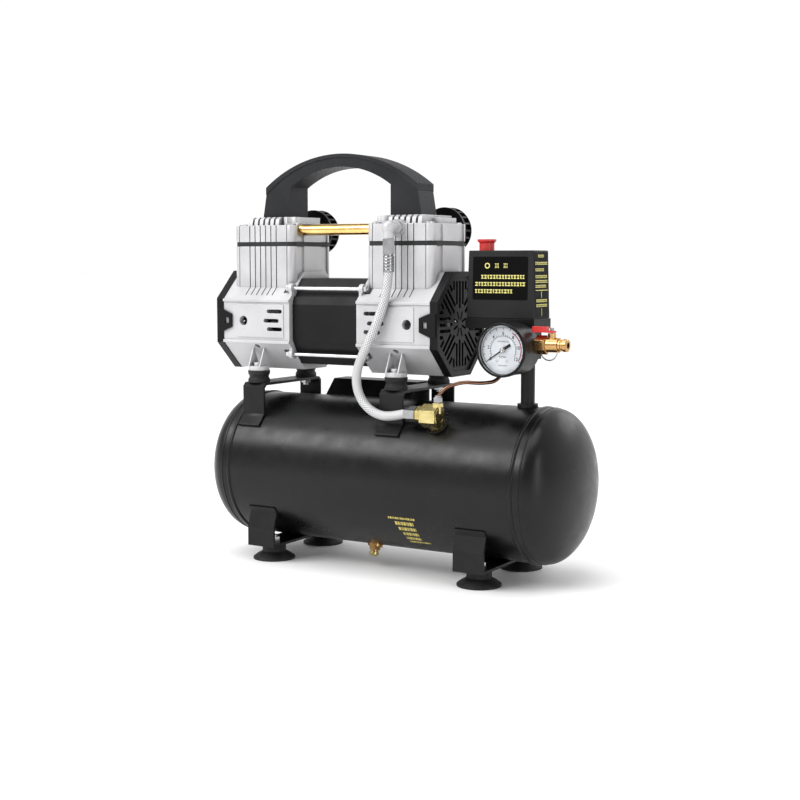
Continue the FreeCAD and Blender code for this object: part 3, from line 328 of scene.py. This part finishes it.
def paint_finish(name, dark, light, roughness, peel, coat=0.12, specular=0.30):
    """Satin powder coat with orange peel, with a painted highlight in patches along its edges."""
    finish = Finish(name, coat=coat, coat_roughness=0.20, specular=specular)
    edge = finish.rounded(0.6 * MM)
    cloud = finish.noise(18.0, 5.0)
    body = finish.blend(finish.spread(cloud, 0.3, 0.7), dark, light)
    scuff = finish.spread(finish.noise(420.0, 4.0), 0.62, 0.74, 0.0, 0.25)
    body = finish.blend(scuff, body, tuple(value * 2.2 for value in light))
    # painted highlight: lighter along the edges, broken into patches by noise
    edge_highlight = finish.maths(edge, finish.spread(finish.noise(160.0, 3.0), 0.45, 0.65, 0.1, 0.5),
                           "MULTIPLY")
    finish.colour(finish.blend(edge_highlight, body, (0.05, 0.05, 0.052)))
    finish.gloss(finish.spread(finish.noise(60.0, 4.0), 0.3, 0.7,
                               roughness - 0.05, roughness + 0.07))
    finish.relief(finish.noise(520.0, 2.0), peel, 0.5)
    return finish.material


def plastic_finish(name, dark, light, roughness=0.45, grain=900.0, depth=0.05, edge_size=0.5,
                   specular=0.15):
    """Moulded plastic with a fine spark-eroded texture and a painted highlight along its edges."""
    finish = Finish(name, specular=specular)
    edge = finish.rounded(edge_size * MM)
    cloud = finish.noise(30.0, 3.0)
    body = finish.blend(finish.spread(cloud, 0.3, 0.7), dark, light)
    # painted highlight: lighter along the rounded edges
    finish.colour(finish.blend(finish.maths(edge, 0.35, "MULTIPLY"), body,
                               tuple(min(1.0, value * 2.0 + 0.02) for value in light)))
    finish.gloss(finish.spread(finish.noise(grain * 0.4, 3.0), 0.3, 0.7,
                               roughness - 0.06, roughness + 0.08))
    finish.relief(finish.cells(grain), depth * MM, 0.5)
    return finish.material


def metal_finish(name, first, second, roughness=0.25, tarnish=(0.2, 0.14, 0.08), spots=0.25,
                 stretch=(1.0, 1.0, 1.0)):
    """Bare or plated metal: turning marks, colour drift, a little tarnish in the corners and a
    painted highlight along the edges.
    """
    finish = Finish(name, metallic=1.0)
    edge = finish.rounded(0.3 * MM)
    drift = finish.noise(55.0, 4.0)
    body = finish.blend(finish.spread(drift, 0.3, 0.7), first, second)
    dull = finish.maths(finish.shade(3.0 * MM), finish.spread(drift, 0.2, 0.7, 0.3, 1.0),
                         "MULTIPLY")
    body = finish.blend(finish.maths(dull, 0.7, "MULTIPLY"), body, tarnish)
    specks = finish.spread(finish.noise(700.0, 4.0), 0.58, 0.72, 0.0, spots)
    body = finish.blend(specks, body, tarnish)
    # painted highlight: brighter than the metal along its rounded edges
    finish.colour(finish.blend(finish.maths(edge, 0.3, "MULTIPLY"), body,
                               tuple(min(1.0, value * 1.25) for value in second)))
    marks = finish.noise(900.0, 3.0, finish.scaled(stretch))
    finish.gloss(finish.spread(marks, 0.3, 0.7, roughness - 0.07, roughness + 0.10))
    finish.relief(marks, 0.02 * MM, 0.4)
    return finish.material


def rubber_finish():
    finish = Finish("black_rubber", roughness=0.7, specular=0.25)
    finish.rounded(0.5 * MM)
    dust = finish.spread(finish.noise(90.0, 5.0), 0.45, 0.75, 0.0, 0.6)
    finish.colour(finish.blend(dust, (0.012, 0.012, 0.013), (0.045, 0.044, 0.042)))
    finish.gloss(finish.spread(finish.noise(300.0, 3.0), 0.3, 0.7, 0.55, 0.75))
    finish.relief(finish.noise(1200.0, 2.0), 0.05 * MM, 0.5)
    return finish.material


def braid_finish():
    """Fine wires that run along each strand of the braid, with painted highlight on their crowns
    and painted shade between strands and in the crevices.
    """
    finish = Finish("steel_braid", metallic=0.30)
    uv = finish.add("ShaderNodeTexCoord").outputs["UV"]
    wires = []
    for lean in (1.0, -1.0):
        slant = finish.add("ShaderNodeVectorMath", operation="DOT_PRODUCT")
        finish.tree.links.new(uv, slant.inputs[0])
        slant.inputs[1].default_value = (STRANDS * WIRES, STRANDS * WIRES * TURNS * lean, 0.0)
        phase = finish.maths(slant.outputs["Value"], 2 * math.pi, "MULTIPLY")
        wave = finish.maths(phase, 0.0, "SINE")
        wires.append(finish.spread(wave, -1.0, 1.0))
    # each wire lighter along its crown and darker between wires: painted highlight and shade
    weave = finish.maths(wires[0], wires[1], "MULTIPLY")
    body = finish.blend(finish.spread(weave, 0.0, 0.8), (0.62, 0.62, 0.63), (0.97, 0.97, 0.97))
    # painted shade along the strands' edges, where the braid dips
    strand_gap_shade = []
    for lean in (1.0, -1.0):
        across = finish.add("ShaderNodeVectorMath", operation="DOT_PRODUCT")
        finish.tree.links.new(uv, across.inputs[0])
        across.inputs[1].default_value = (math.pi * STRANDS, math.pi * STRANDS * TURNS * lean, 0.0)
        edge = finish.maths(finish.maths(across.outputs["Value"], 0.0, "COSINE"), 0.0, "ABSOLUTE")
        strand_gap_shade.append(finish.spread(edge, 0.10, 0.60, 1.0, 0.0))
    body = finish.blend(finish.maths(strand_gap_shade[0], strand_gap_shade[1], "MAXIMUM"), body, (0.19, 0.19, 0.195))
    # painted shade in the braid's crevices, from ambient occlusion
    braid_crevice_shade = finish.maths(finish.shade(1.5 * MM), 0.95, "MULTIPLY")
    finish.colour(finish.blend(braid_crevice_shade, body, (0.07, 0.07, 0.075)))
    finish.gloss(finish.spread(weave, 0.0, 1.0, 0.45, 0.28))
    finish.relief(weave, 0.08 * MM, 0.6)
    return finish.material


def winding_finish():
    """Enamelled copper wire laid in turns, each lighter on its crown and darker where it meets the
    next: painted highlight and shade.
    """
    finish = Finish("copper_wire", metallic=0.8)
    turn = finish.add("ShaderNodeTexWave", wave_type="RINGS", rings_direction="X")
    finish.tree.links.new(finish.place, turn.inputs["Vector"])
    turn.inputs["Scale"].default_value = 260.0
    # painted highlight and shade: each turn lighter on its crown, darker between turns
    finish.colour(finish.blend(turn.outputs["Fac"], (0.16, 0.05, 0.02), (0.62, 0.26, 0.11)))
    finish.gloss(finish.spread(turn.outputs["Fac"], 0.0, 1.0, 0.5, 0.3))
    finish.relief(turn.outputs["Fac"], 0.2 * MM, 0.6)
    return finish.material


def dial_finish():
    """Printed dial with a brushed sheen, slightly cool."""
    finish = Finish("dial_face", roughness=0.4)
    tone = finish.noise(70.0, 4.0)
    finish.colour(finish.blend(finish.spread(tone, 0.3, 0.7), (0.66, 0.70, 0.75),
                               (0.84, 0.87, 0.91)))
    finish.gloss(finish.spread(tone, 0.3, 0.7, 0.30, 0.45))
    finish.relief(finish.noise(1600.0, 2.0), 0.01 * MM, 0.4)
    return finish.material


def ink_finish(name, first, second):
    """Printed ink, a little uneven."""
    finish = Finish(name, roughness=0.5)
    tone = finish.noise(600.0, 4.0)
    finish.colour(finish.blend(finish.spread(tone, 0.35, 0.65), first, second))
    finish.gloss(finish.spread(tone, 0.3, 0.7, 0.4, 0.55))
    return finish.material


def lens_finish():
    """Thin clear acrylic."""
    finish = Finish("clear_lens", roughness=0.03)
    finish.fix("Transmission Weight", 1.0)
    finish.fix("IOR", 1.2)
    finish.colour((1.0, 1.0, 1.0))
    finish.gloss(finish.spread(finish.noise(40.0, 3.0), 0.4, 0.8, 0.01, 0.04))
    return finish.material


def finishes():
    """One material for each slot of the record."""
    return {
        "tank_paint": paint_finish("tank_paint", (0.0020, 0.0020, 0.0022), (0.0040, 0.0040, 0.0043),
                                   0.31, 0.03 * MM, 0.0, 0.27),
        "bracket_paint": paint_finish("bracket_paint", (0.006, 0.006, 0.0065),
                                      (0.011, 0.011, 0.012), 0.40, 0.06 * MM, 0.04, 0.18),
        "black_rubber": rubber_finish(),
        "zinc_steel": metal_finish("zinc_steel", (0.52, 0.53, 0.55), (0.70, 0.70, 0.71), 0.30,
                                   (0.22, 0.21, 0.20)),
        "black_plastic": plastic_finish("black_plastic", (0.0035, 0.0035, 0.004),
                                        (0.007, 0.007, 0.0075), 0.36),
        "capacitor_can": metal_finish("capacitor_can", (0.60, 0.60, 0.62), (0.75, 0.75, 0.76), 0.28,
                                      (0.3, 0.3, 0.3)),
        "brass": metal_finish("brass", (0.42, 0.34, 0.12), (0.66, 0.56, 0.26), 0.22,
                              (0.22, 0.13, 0.05), 0.35),
        "cast_aluminium": cast_finish(),
        "dark_gasket": plastic_finish("dark_gasket", (0.020, 0.021, 0.021), (0.034, 0.035, 0.035),
                                      0.50),
        "copper_pipe": metal_finish("copper_pipe", (0.13, 0.066, 0.045), (0.27, 0.14, 0.095), 0.18,
                                    (0.10, 0.05, 0.03), 0.35),
        "motor_enamel": paint_finish("motor_enamel", (0.0060, 0.0060, 0.0064),
                                     (0.0105, 0.0105, 0.0110), 0.44, 0.05 * MM, 0.0, 0.14),
        "copper_wire": winding_finish(),
        "charcoal_plastic": plastic_finish("charcoal_plastic", (0.014, 0.0145, 0.016),
                                           (0.022, 0.0225, 0.025), 0.48, 1100.0, 0.06, 1.2),
        "charcoal_grip": plastic_finish("charcoal_grip", (0.016, 0.0165, 0.018),
                                        (0.026, 0.0265, 0.029), 0.58, 800.0, 0.12, 1.2),
        "nickel_plate": metal_finish("nickel_plate", (0.20, 0.20, 0.21), (0.42, 0.42, 0.43), 0.13,
                                     (0.05, 0.05, 0.05), 0.15),
        "steel_braid": braid_finish(),
        "dial_face": dial_finish(),
        "needle_black": plastic_finish("needle_black", (0.006, 0.006, 0.006), (0.012, 0.012, 0.012),
                                       0.35, 900.0, 0.02, 0.1),
        "clear_lens": lens_finish(),
        "red_plastic": plastic_finish("red_plastic", (0.50, 0.022, 0.020), (0.66, 0.038, 0.034),
                                      0.30, 900.0, 0.03, 0.4, 0.45),
        "switch_plastic": plastic_finish("switch_plastic", (0.012, 0.012, 0.0125),
                                         (0.019, 0.019, 0.020), 0.50, 1000.0, 0.07, 0.8),
    }


def dress_cad(looks):
    """Each CAD node's slots get this file's finish for the record's slot of that name."""
    golden = metal_finish("golden_pipe", (0.74, 0.47, 0.16), (0.93, 0.66, 0.28), 0.16,
                          (0.45, 0.20, 0.06), 0.2, (0.1, 1.0, 1.0))
    red_brass = metal_finish("red_brass", (0.40, 0.23, 0.09), (0.66, 0.40, 0.16), 0.20,
                             (0.14, 0.07, 0.03), 0.35)
    own_looks = {"crossover_pipe": golden, "outlet_valve": red_brass, "quick_coupler": red_brass,
                 "drain_valve": red_brass}
    for name, node in NODES.items():
        for spot in node.material_slots:
            spot.material = own_looks.get(name, looks[spot.material.name.split(".")[0]])


# --------------------------------------------------------------- added pieces

def mesh_piece(name, mesh, finish, body="frame"):
    """Make a piece of a mesh, give it its finish and set it on a body."""
    bmesh.ops.recalc_face_normals(mesh, faces=mesh.faces)
    data = bpy.data.meshes.new(name)
    mesh.to_mesh(data)
    mesh.free()
    piece = link_object(name, data)
    piece.data.materials.append(finish)
    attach(piece, body)
    return piece


def lathe(mesh, profile, centre, axis, around=64):
    """Turn a closed (radius, height) outline about an axis through centre."""
    axis = Vector(axis).normalized()
    side = axis.orthogonal().normalized()
    other = axis.cross(side)
    rings = []
    for step in range(around):
        angle = 2 * math.pi * step / around
        out = side * math.cos(angle) + other * math.sin(angle)
        rings.append([mesh.verts.new(Vector(centre) + out * radius + axis * height)
                      for radius, height in profile])
    count = len(profile)
    for step in range(around):
        here, after = rings[step], rings[(step + 1) % around]
        for index in range(count):
            follow = (index + 1) % count
            face = mesh.faces.new((here[index], after[index], after[follow], here[follow]))
            face.smooth = True


def slab(mesh, corners, depth):
    """A thin plate: corners in order, thickened along depth."""
    low = [mesh.verts.new(corner) for corner in corners]
    high = [mesh.verts.new(corner + depth) for corner in corners]
    count = len(corners)
    mesh.faces.new(list(reversed(low)))
    mesh.faces.new(high)
    for index in range(count):
        after = (index + 1) % count
        mesh.faces.new((low[index], low[after], high[after], high[index]))


def make_crimp_sleeve(looks):
    """Ferrule pressed on the hose's upper end, with rounded crimp rings."""
    mesh = bmesh.new()
    length, bore, waist, crown = 17.0 * MM, 5.52 * MM, 5.60 * MM, 6.05 * MM
    outer = []
    rings = 5
    steps = 8
    for step in range(rings * steps + 1):
        wave = abs(math.sin(math.pi * step / steps))
        outer.append((waist + (crown - waist) * wave ** 0.5, length * step / (rings * steps)))
    outline = outer + [(bore, length), (bore, 0.0)]
    lathe(mesh, outline, HOSE_ROUTE[0], (0, 0, 1))
    mesh_piece("crimp_sleeve", mesh, looks["nickel_plate"])


PRINT_LIFT = 0.05 * MM
INK_THICK = 0.06 * MM
FILM_LIFT = 0.02 * MM
FILM_THICK = 0.18 * MM
DIAL_LOW, DIAL_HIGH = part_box("gauge_dial")
DIAL_MIDDLE = (DIAL_LOW + DIAL_HIGH) / 2
DIAL_RADIUS = 25.0 * MM
DIAL_FRONT = DIAL_LOW.y - PRINT_LIFT
# the scale runs clockwise from its zero, in degrees anticlockwise from +X
SWEEP_START = 213.0
SWEEP = 246.0


def dial_point(angle, radius, lift=0.0):
    """A point on the dial, its angle anticlockwise from +X as seen from the front."""
    turn = math.radians(angle)
    return Vector((DIAL_MIDDLE.x + math.cos(turn) * radius, DIAL_FRONT - lift,
                   DIAL_MIDDLE.z + math.sin(turn) * radius))


def dial_band(mesh, start, end, inner, outer, steps):
    """Print between two angles; inner and outer are shares of the dial's radius."""
    depth = Vector((0, -INK_THICK, 0))
    inner, outer = inner * DIAL_RADIUS, outer * DIAL_RADIUS
    for index in range(steps):
        a = start + (end - start) * index / steps
        b = start + (end - start) * (index + 1) / steps
        slab(mesh, [dial_point(a, inner), dial_point(a, outer), dial_point(b, outer),
                    dial_point(b, inner)], depth)


def merged_piece(name, mesh, finish, body="frame"):
    """A piece whose lathed outline touches its axis, so that its middle points are one."""
    bmesh.ops.remove_doubles(mesh, verts=mesh.verts, dist=0.001 * MM)
    return mesh_piece(name, mesh, finish, body)


def make_dial(looks):
    ink = ink_finish("dial_ink", (0.015, 0.015, 0.018), (0.03, 0.03, 0.035))
    warm = ink_finish("dial_red_ink", (0.30, 0.03, 0.07), (0.42, 0.05, 0.10))
    make_dial_marks(ink)
    arc = bmesh.new()
    dial_band(arc, 60.0, -32.0, 0.790, 0.835, 40)
    mesh_piece("dial_red_arc", arc, warm)
    make_dial_numbers(ink)
    make_unit_blocks(ink)
    screws = bmesh.new()
    head = [(0.0, 0.0), (1.5 * MM, 0.0), (1.5 * MM, 0.25 * MM), (1.1 * MM, 0.5 * MM),
            (0.0, 0.5 * MM)]
    for x in (-7.4 * MM, 4.2 * MM):
        centre = (DIAL_MIDDLE.x + x, DIAL_FRONT, DIAL_MIDDLE.z - 11.2 * MM)
        lathe(screws, head, centre, (0, -1, 0), 32)
    merged_piece("dial_screws", screws, looks["zinc_steel"])
    hub = bmesh.new()
    cap = [(0.0, 0.0), (2.9 * MM, 0.0), (2.9 * MM, 0.5 * MM), (2.3 * MM, 0.9 * MM),
           (1.4 * MM, 0.9 * MM), (1.1 * MM, 0.5 * MM), (0.0, 0.5 * MM)]
    hub_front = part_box("gauge_needle")[0].y
    lathe(hub, cap, (DIAL_MIDDLE.x, hub_front, DIAL_MIDDLE.z), (0, -1, 0), 40)
    merged_piece("needle_hub", hub, looks["zinc_steel"], "needle")


def make_dial_marks(ink):
    """Outer scale with long and short ticks, and a finer scale inside it."""
    marks = bmesh.new()
    major = 12
    minor = 5
    for step in range(major * minor + 1):
        angle = SWEEP_START - SWEEP * step / (major * minor)
        inner, wide = (0.84, 0.9) if step % minor == 0 else (0.88, 0.45)
        dial_band(marks, angle - wide, angle + wide, inner, 0.94, 1)
    dial_band(marks, SWEEP_START, SWEEP_START - SWEEP, 0.935, 0.95, 60)
    margin = 8.0
    inner_ticks = 24
    dial_band(marks, SWEEP_START - margin, SWEEP_START - SWEEP + margin, 0.560, 0.578, 48)
    for step in range(inner_ticks + 1):
        angle = SWEEP_START - margin - (SWEEP - 2 * margin) * step / inner_ticks
        dial_band(marks, angle - 0.8, angle + 0.8, 0.575, 0.64, 1)
    mesh_piece("dial_marks", marks, ink)


def make_dial_numbers(ink):
    """Even numbers from 0 to 12 around the dial, as thin raised print."""
    lettering = bmesh.new()
    highest = 12
    for number in range(0, highest + 1, 2):
        text = bpy.data.curves.new("number", "FONT")
        text.body = str(number)
        text.size = 4.8 * MM
        text.align_x = "CENTER"
        text.align_y = "CENTER"
        text.extrude = INK_THICK / 2
        text.offset = 0.10 * MM
        word = link_object("number", text)
        angle = SWEEP_START - SWEEP * number / highest
        place = dial_point(angle, DIAL_RADIUS * 0.68, INK_THICK / 2)
        word.matrix_world = Matrix.Translation(place) @ Matrix.Rotation(math.pi / 2, 4, "X")
        bpy.context.view_layer.update()
        flat = bpy.data.meshes.new_from_object(word)
        flat.transform(word.matrix_world)
        lettering.from_mesh(flat)
        bpy.data.objects.remove(word)
    mesh_piece("dial_numbers", lettering, ink)


def make_unit_blocks(ink):
    """Plain blocks where a unit would be printed."""
    unit = bmesh.new()
    for left, drop, length, tall in ((-6.5, -9.4, 13.0, 1.5), (-4.5, 6.2, 9.0, 1.6),
                                     (-5.5, 15.4, 11.0, 1.1)):
        corner = Vector((DIAL_MIDDLE.x + left * MM, DIAL_FRONT, DIAL_MIDDLE.z - drop * MM))
        print_rows(unit, corner, Vector((1, 0, 0)), Vector((0, 0, -1)), Vector((0, -1, 0)),
                   [(0.0, length, 0.0)], tall)
    mesh_piece("dial_unit_blocks", unit, ink)


def print_rows(mesh, origin, along, down, out, rows, height):
    """Rows of plain marks that stand for print. Each row is (start, length, drop)."""
    for row, (start, length, drop) in enumerate(rows):
        spot = start
        count = 0
        while spot < start + length - 1.0:
            # widths repeat with no common beat, so that the row looks unevenly set
            beat = math.sin(2.3 * count + 1.7 * row)
            width = min(height * (0.62 + 0.16 * beat), start + length - spot)
            for share, left, right in ((0.0, 0.0, 1.0), (0.36, 0.25 + 0.2 * beat, 0.75),
                                       (0.72, 0.1 - 0.1 * beat, 1.0)):
                corner = (origin + along * ((spot + width * left) * MM)
                          + down * ((drop + height * share) * MM))
                step = along * (width * (right - left) * MM)
                fall = down * (height * 0.27 * MM)
                slab(mesh, [corner, corner + step, corner + step + fall, corner + fall],
                     out * INK_THICK)
            spot += width + height * 0.24
            count += 1


def make_switch_labels():
    panel_finish = plastic_finish("label_film", (0.0014, 0.0014, 0.0014), (0.0026, 0.0026, 0.0026),
                                  0.45, 500.0, 0.01, 0.1, 0.06)
    yellow = ink_finish("label_yellow", (0.66, 0.60, 0.15), (0.84, 0.78, 0.26))
    low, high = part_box("switch_cover")
    lean = 1.6 * MM
    tall = high.z - low.z
    # front face: draws back towards the top
    down = Vector((0, -lean, -tall)).normalized()
    along = Vector((1, 0, 0))
    out = Vector((0, -tall, lean)).normalized()
    top = Vector((low.x + 7.0 * MM, low.y + lean, high.z))
    origin = top + down * (6.5 * MM) + out * FILM_LIFT
    panel = bmesh.new()
    rounded_plate(panel, origin, along, down, out, 64.0, 45.0, 2.0, FILM_THICK)
    # right-hand face
    side_along = Vector((0, 1, 0))
    side_out = Vector((tall, 0, lean)).normalized()
    side_down = Vector((lean, 0, -tall)).normalized()
    margin = 2.6
    side_top = Vector((high.x - lean, low.y + margin * MM, high.z))
    side_origin = side_top + side_down * (2.0 * MM) + side_out * FILM_LIFT
    side_wide = (high.y - low.y) / MM - 2 * margin
    side_tall = tall / MM - 3.5
    rounded_plate(panel, side_origin, side_along, side_down, side_out, side_wide, side_tall,
                  1.5, FILM_THICK)
    mesh_piece("switch_label_film", panel, panel_finish)
    ink = bmesh.new()
    face = origin + out * FILM_THICK
    print_rows(ink, face, along, down, out, [(10.0, 50.0, 19.0), (3.0, 58.0, 26.5),
                                             (3.0, 44.0, 34.0)], 4.0)
    for start in (26.0, 36.0):
        print_rows(ink, face, along, down, out, [(start, 5.0, 7.0), (start, 5.0, 9.8)], 1.9)
    ring_at = face + along * (17.0 * MM) + down * (9.4 * MM)
    lathe(ink, [(1.9 * MM, 0.0), (3.0 * MM, 0.0), (3.0 * MM, INK_THICK), (1.9 * MM, INK_THICK)],
          ring_at, out, 40)
    side_face = side_origin + side_out * FILM_THICK
    step = side_tall / 54.0
    # start and length as shares of the film's width, and the drop in steps
    rows = [(0.28, 0.40, 2.0), (0.08, 0.84, 8.0), (0.08, 0.60, 13.4), (0.08, 0.86, 19.0),
            (0.08, 0.84, 23.0), (0.08, 0.74, 27.0), (0.12, 0.78, 39.0), (0.12, 0.78, 43.0)]
    print_rows(ink, side_face, side_along, side_down, side_out,
               [(side_wide * start, side_wide * length, drop * step)
                for start, length, drop in rows], 2.8)
    for left, wide, drop, height in ((0.08, 0.86, 31.2, 0.5), (0.48, 0.02, 32.4, 5.4),
                                     (0.48, 0.02, 46.6, 6.0)):
        corner = (side_face + side_along * (side_wide * left * MM)
                  + side_down * (drop * step * MM))
        slab(ink, [corner, corner + side_along * (side_wide * wide * MM),
                   corner + side_along * (side_wide * wide * MM) + side_down * (height * step * MM),
                   corner + side_down * (height * step * MM)], side_out * INK_THICK)
    mesh_piece("switch_label_print", ink, yellow)


def rounded_plate(mesh, origin, along, down, out, width, height, radius, thick):
    """A thin plate with rounded corners: width, height and radius are in millimetres."""
    corners = []
    for cx, cy, start in ((width - radius, radius, -90), (width - radius, height - radius, 0),
                          (radius, height - radius, 90), (radius, radius, 180)):
        for step in range(7):
            angle = math.radians(start + 15 * step)
            x = cx + radius * math.cos(angle)
            y = cy + radius * math.sin(angle)
            corners.append(origin + along * (x * MM) + down * (y * MM))
    slab(mesh, corners, out * thick)


def make_tank_print():
    """Short rows of print on the tank's lower front, bent to its skin."""
    yellow = ink_finish("tank_yellow", (0.50, 0.40, 0.08), (0.66, 0.54, 0.13))
    low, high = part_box("tank_shell")
    radius = (high.z - low.z) / 2 + 0.03 * MM
    centre_z = (high.z + low.z) / 2
    mesh = bmesh.new()
    # where each row starts along the tank, its length and its height, in millimetres
    rows = [(30.0, 31.0, 2.6), (37.0, 22.0, 4.6), (39.0, 21.0, 4.6), (42.0, 18.0, 4.6),
            (43.0, 18.0, 4.6), (44.0, 25.0, 3.0)]
    angle = -25.0
    word_gap = 0.9
    row_gap = 2.2
    for row, (start, length, height) in enumerate(rows):
        drop = math.degrees(height * MM / radius)
        x = start
        count = 0
        while x < start + length:
            width = (1.6 + 1.0 * math.sin(1.9 * count + row)) * (1.0 if row else 0.8)
            tilt = [math.radians(angle), math.radians(angle - drop)]
            ends = [Vector((0, -math.cos(t), math.sin(t))) for t in tilt]
            corners = [Vector((px * MM, 0, centre_z)) + out * radius
                       for px, out in ((x, ends[0]), (x + width, ends[0]),
                                       (x + width, ends[1]), (x, ends[1]))]
            slab(mesh, corners, (ends[0] + ends[1]).normalized() * INK_THICK)
            x += width + word_gap
            count += 1
        angle -= drop + row_gap
    mesh_piece("tank_print", mesh, yellow)


# how far the edges of these CAD nodes are rounded, in millimetres
SOFT_EDGES = {
    "crankcase_left": 0.5, "crankcase_right": 0.5, "head_left": 0.6, "head_right": 0.6,
    "cylinder_left": 0.35, "cylinder_right": 0.35, "end_covers": 0.35,
    "switch_cover": 1.0, "saddle_left": 0.4, "saddle_right": 0.4,
}


def soften(name, width, segments=2):
    """Round a CAD node's edges with modifiers, which leave its own mesh alone."""
    node = NODES[name]
    weld = node.modifiers.new("weld", "WELD")
    weld.merge_threshold = 0.002 * MM
    bevel = node.modifiers.new("bevel", "BEVEL")
    bevel.width = width * MM
    bevel.segments = segments
    bevel.limit_method = "ANGLE"
    bevel.angle_limit = math.radians(34)
    bevel.use_clamp_overlap = True
    bevel.harden_normals = True


# ------------------------------------------------------------------ light, floor

# name, place, width and height, and watts of each light, all aimed at AIM
SOFT_BOXES = [
    ("key", (-1.2, -1.6, 1.7), (1.8, 0.8), 44.0),
    ("fill", (2.0, -0.9, 0.9), (0.35, 1.6), 9.0),
    ("top", (0.1, 0.1, 2.2), (2.4, 0.7), 6.0),
    ("rim", (0.9, 2.0, 1.3), (1.6, 1.0), 9.0),
]
AIM = Vector((0, 0, 0.2))


def make_stage():
    floor_mesh = bmesh.new()
    bmesh.ops.create_grid(floor_mesh, x_segments=1, y_segments=1, size=30.0)
    data = bpy.data.meshes.new("floor")
    floor_mesh.to_mesh(data)
    floor_mesh.free()
    floor = link_object("floor", data)
    floor.location.z = -0.1 * MM
    pale = Finish("floor", roughness=0.6)
    tone = pale.noise(3.0, 3.0)
    pale.colour(pale.blend(tone, (0.90, 0.90, 0.90), (0.93, 0.93, 0.93)))
    floor.data.materials.append(pale.material)

    world = bpy.data.worlds.new("studio")
    bpy.context.scene.world = world
    world.use_nodes = True
    tree = world.node_tree
    # bright backdrop behind the machine and along the horizon, dimmer room above and in front:
    # each fade has its start and end along the axis, and the strengths there
    toward = tree.nodes.new("ShaderNodeSeparateXYZ")
    tree.links.new(tree.nodes.new("ShaderNodeTexCoord").outputs["Generated"], toward.inputs[0])
    brighter = tree.nodes.new("ShaderNodeMath")
    brighter.operation = "MAXIMUM"
    for index, (axis, limits) in enumerate((("Y", (-0.30, 0.40, 0.34, 1.04)),
                                            ("Z", (0.30, 0.10, 0.34, 1.04)))):
        fade = tree.nodes.new("ShaderNodeMapRange")
        for socket, number in zip(list(fade.inputs)[1:5], limits):
            socket.default_value = number
        tree.links.new(toward.outputs[axis], fade.inputs["Value"])
        tree.links.new(fade.outputs["Result"], brighter.inputs[index])
    tree.links.new(brighter.outputs["Value"], tree.nodes["Background"].inputs["Strength"])
    tree.nodes["Background"].inputs["Color"].default_value = (1.0, 1.0, 1.0, 1.0)

    glow = bpy.data.lights.new("overhead", "SUN")
    glow.energy = 1.35
    glow.angle = math.radians(50)
    link_object("overhead", glow).rotation_euler = (math.radians(12), math.radians(-8), 0)
    for name, place, size, power in SOFT_BOXES:
        data = bpy.data.lights.new(name, "AREA")
        data.shape = "RECTANGLE"
        data.size, data.size_y = size
        data.energy = power
        lamp = link_object(name, data)
        lamp.location = place
        lamp.rotation_euler = (AIM - Vector(place)).to_track_quat("-Z", "Y").to_euler()
    bpy.context.scene.view_settings.view_transform = "Standard"


make_camera()
make_hose()
make_stage()
looks = finishes()
dress_cad(looks)
make_crimp_sleeve(looks)
make_dial(looks)
make_switch_labels()
make_tank_print()
for name, width in SOFT_EDGES.items():
    soften(name, width)
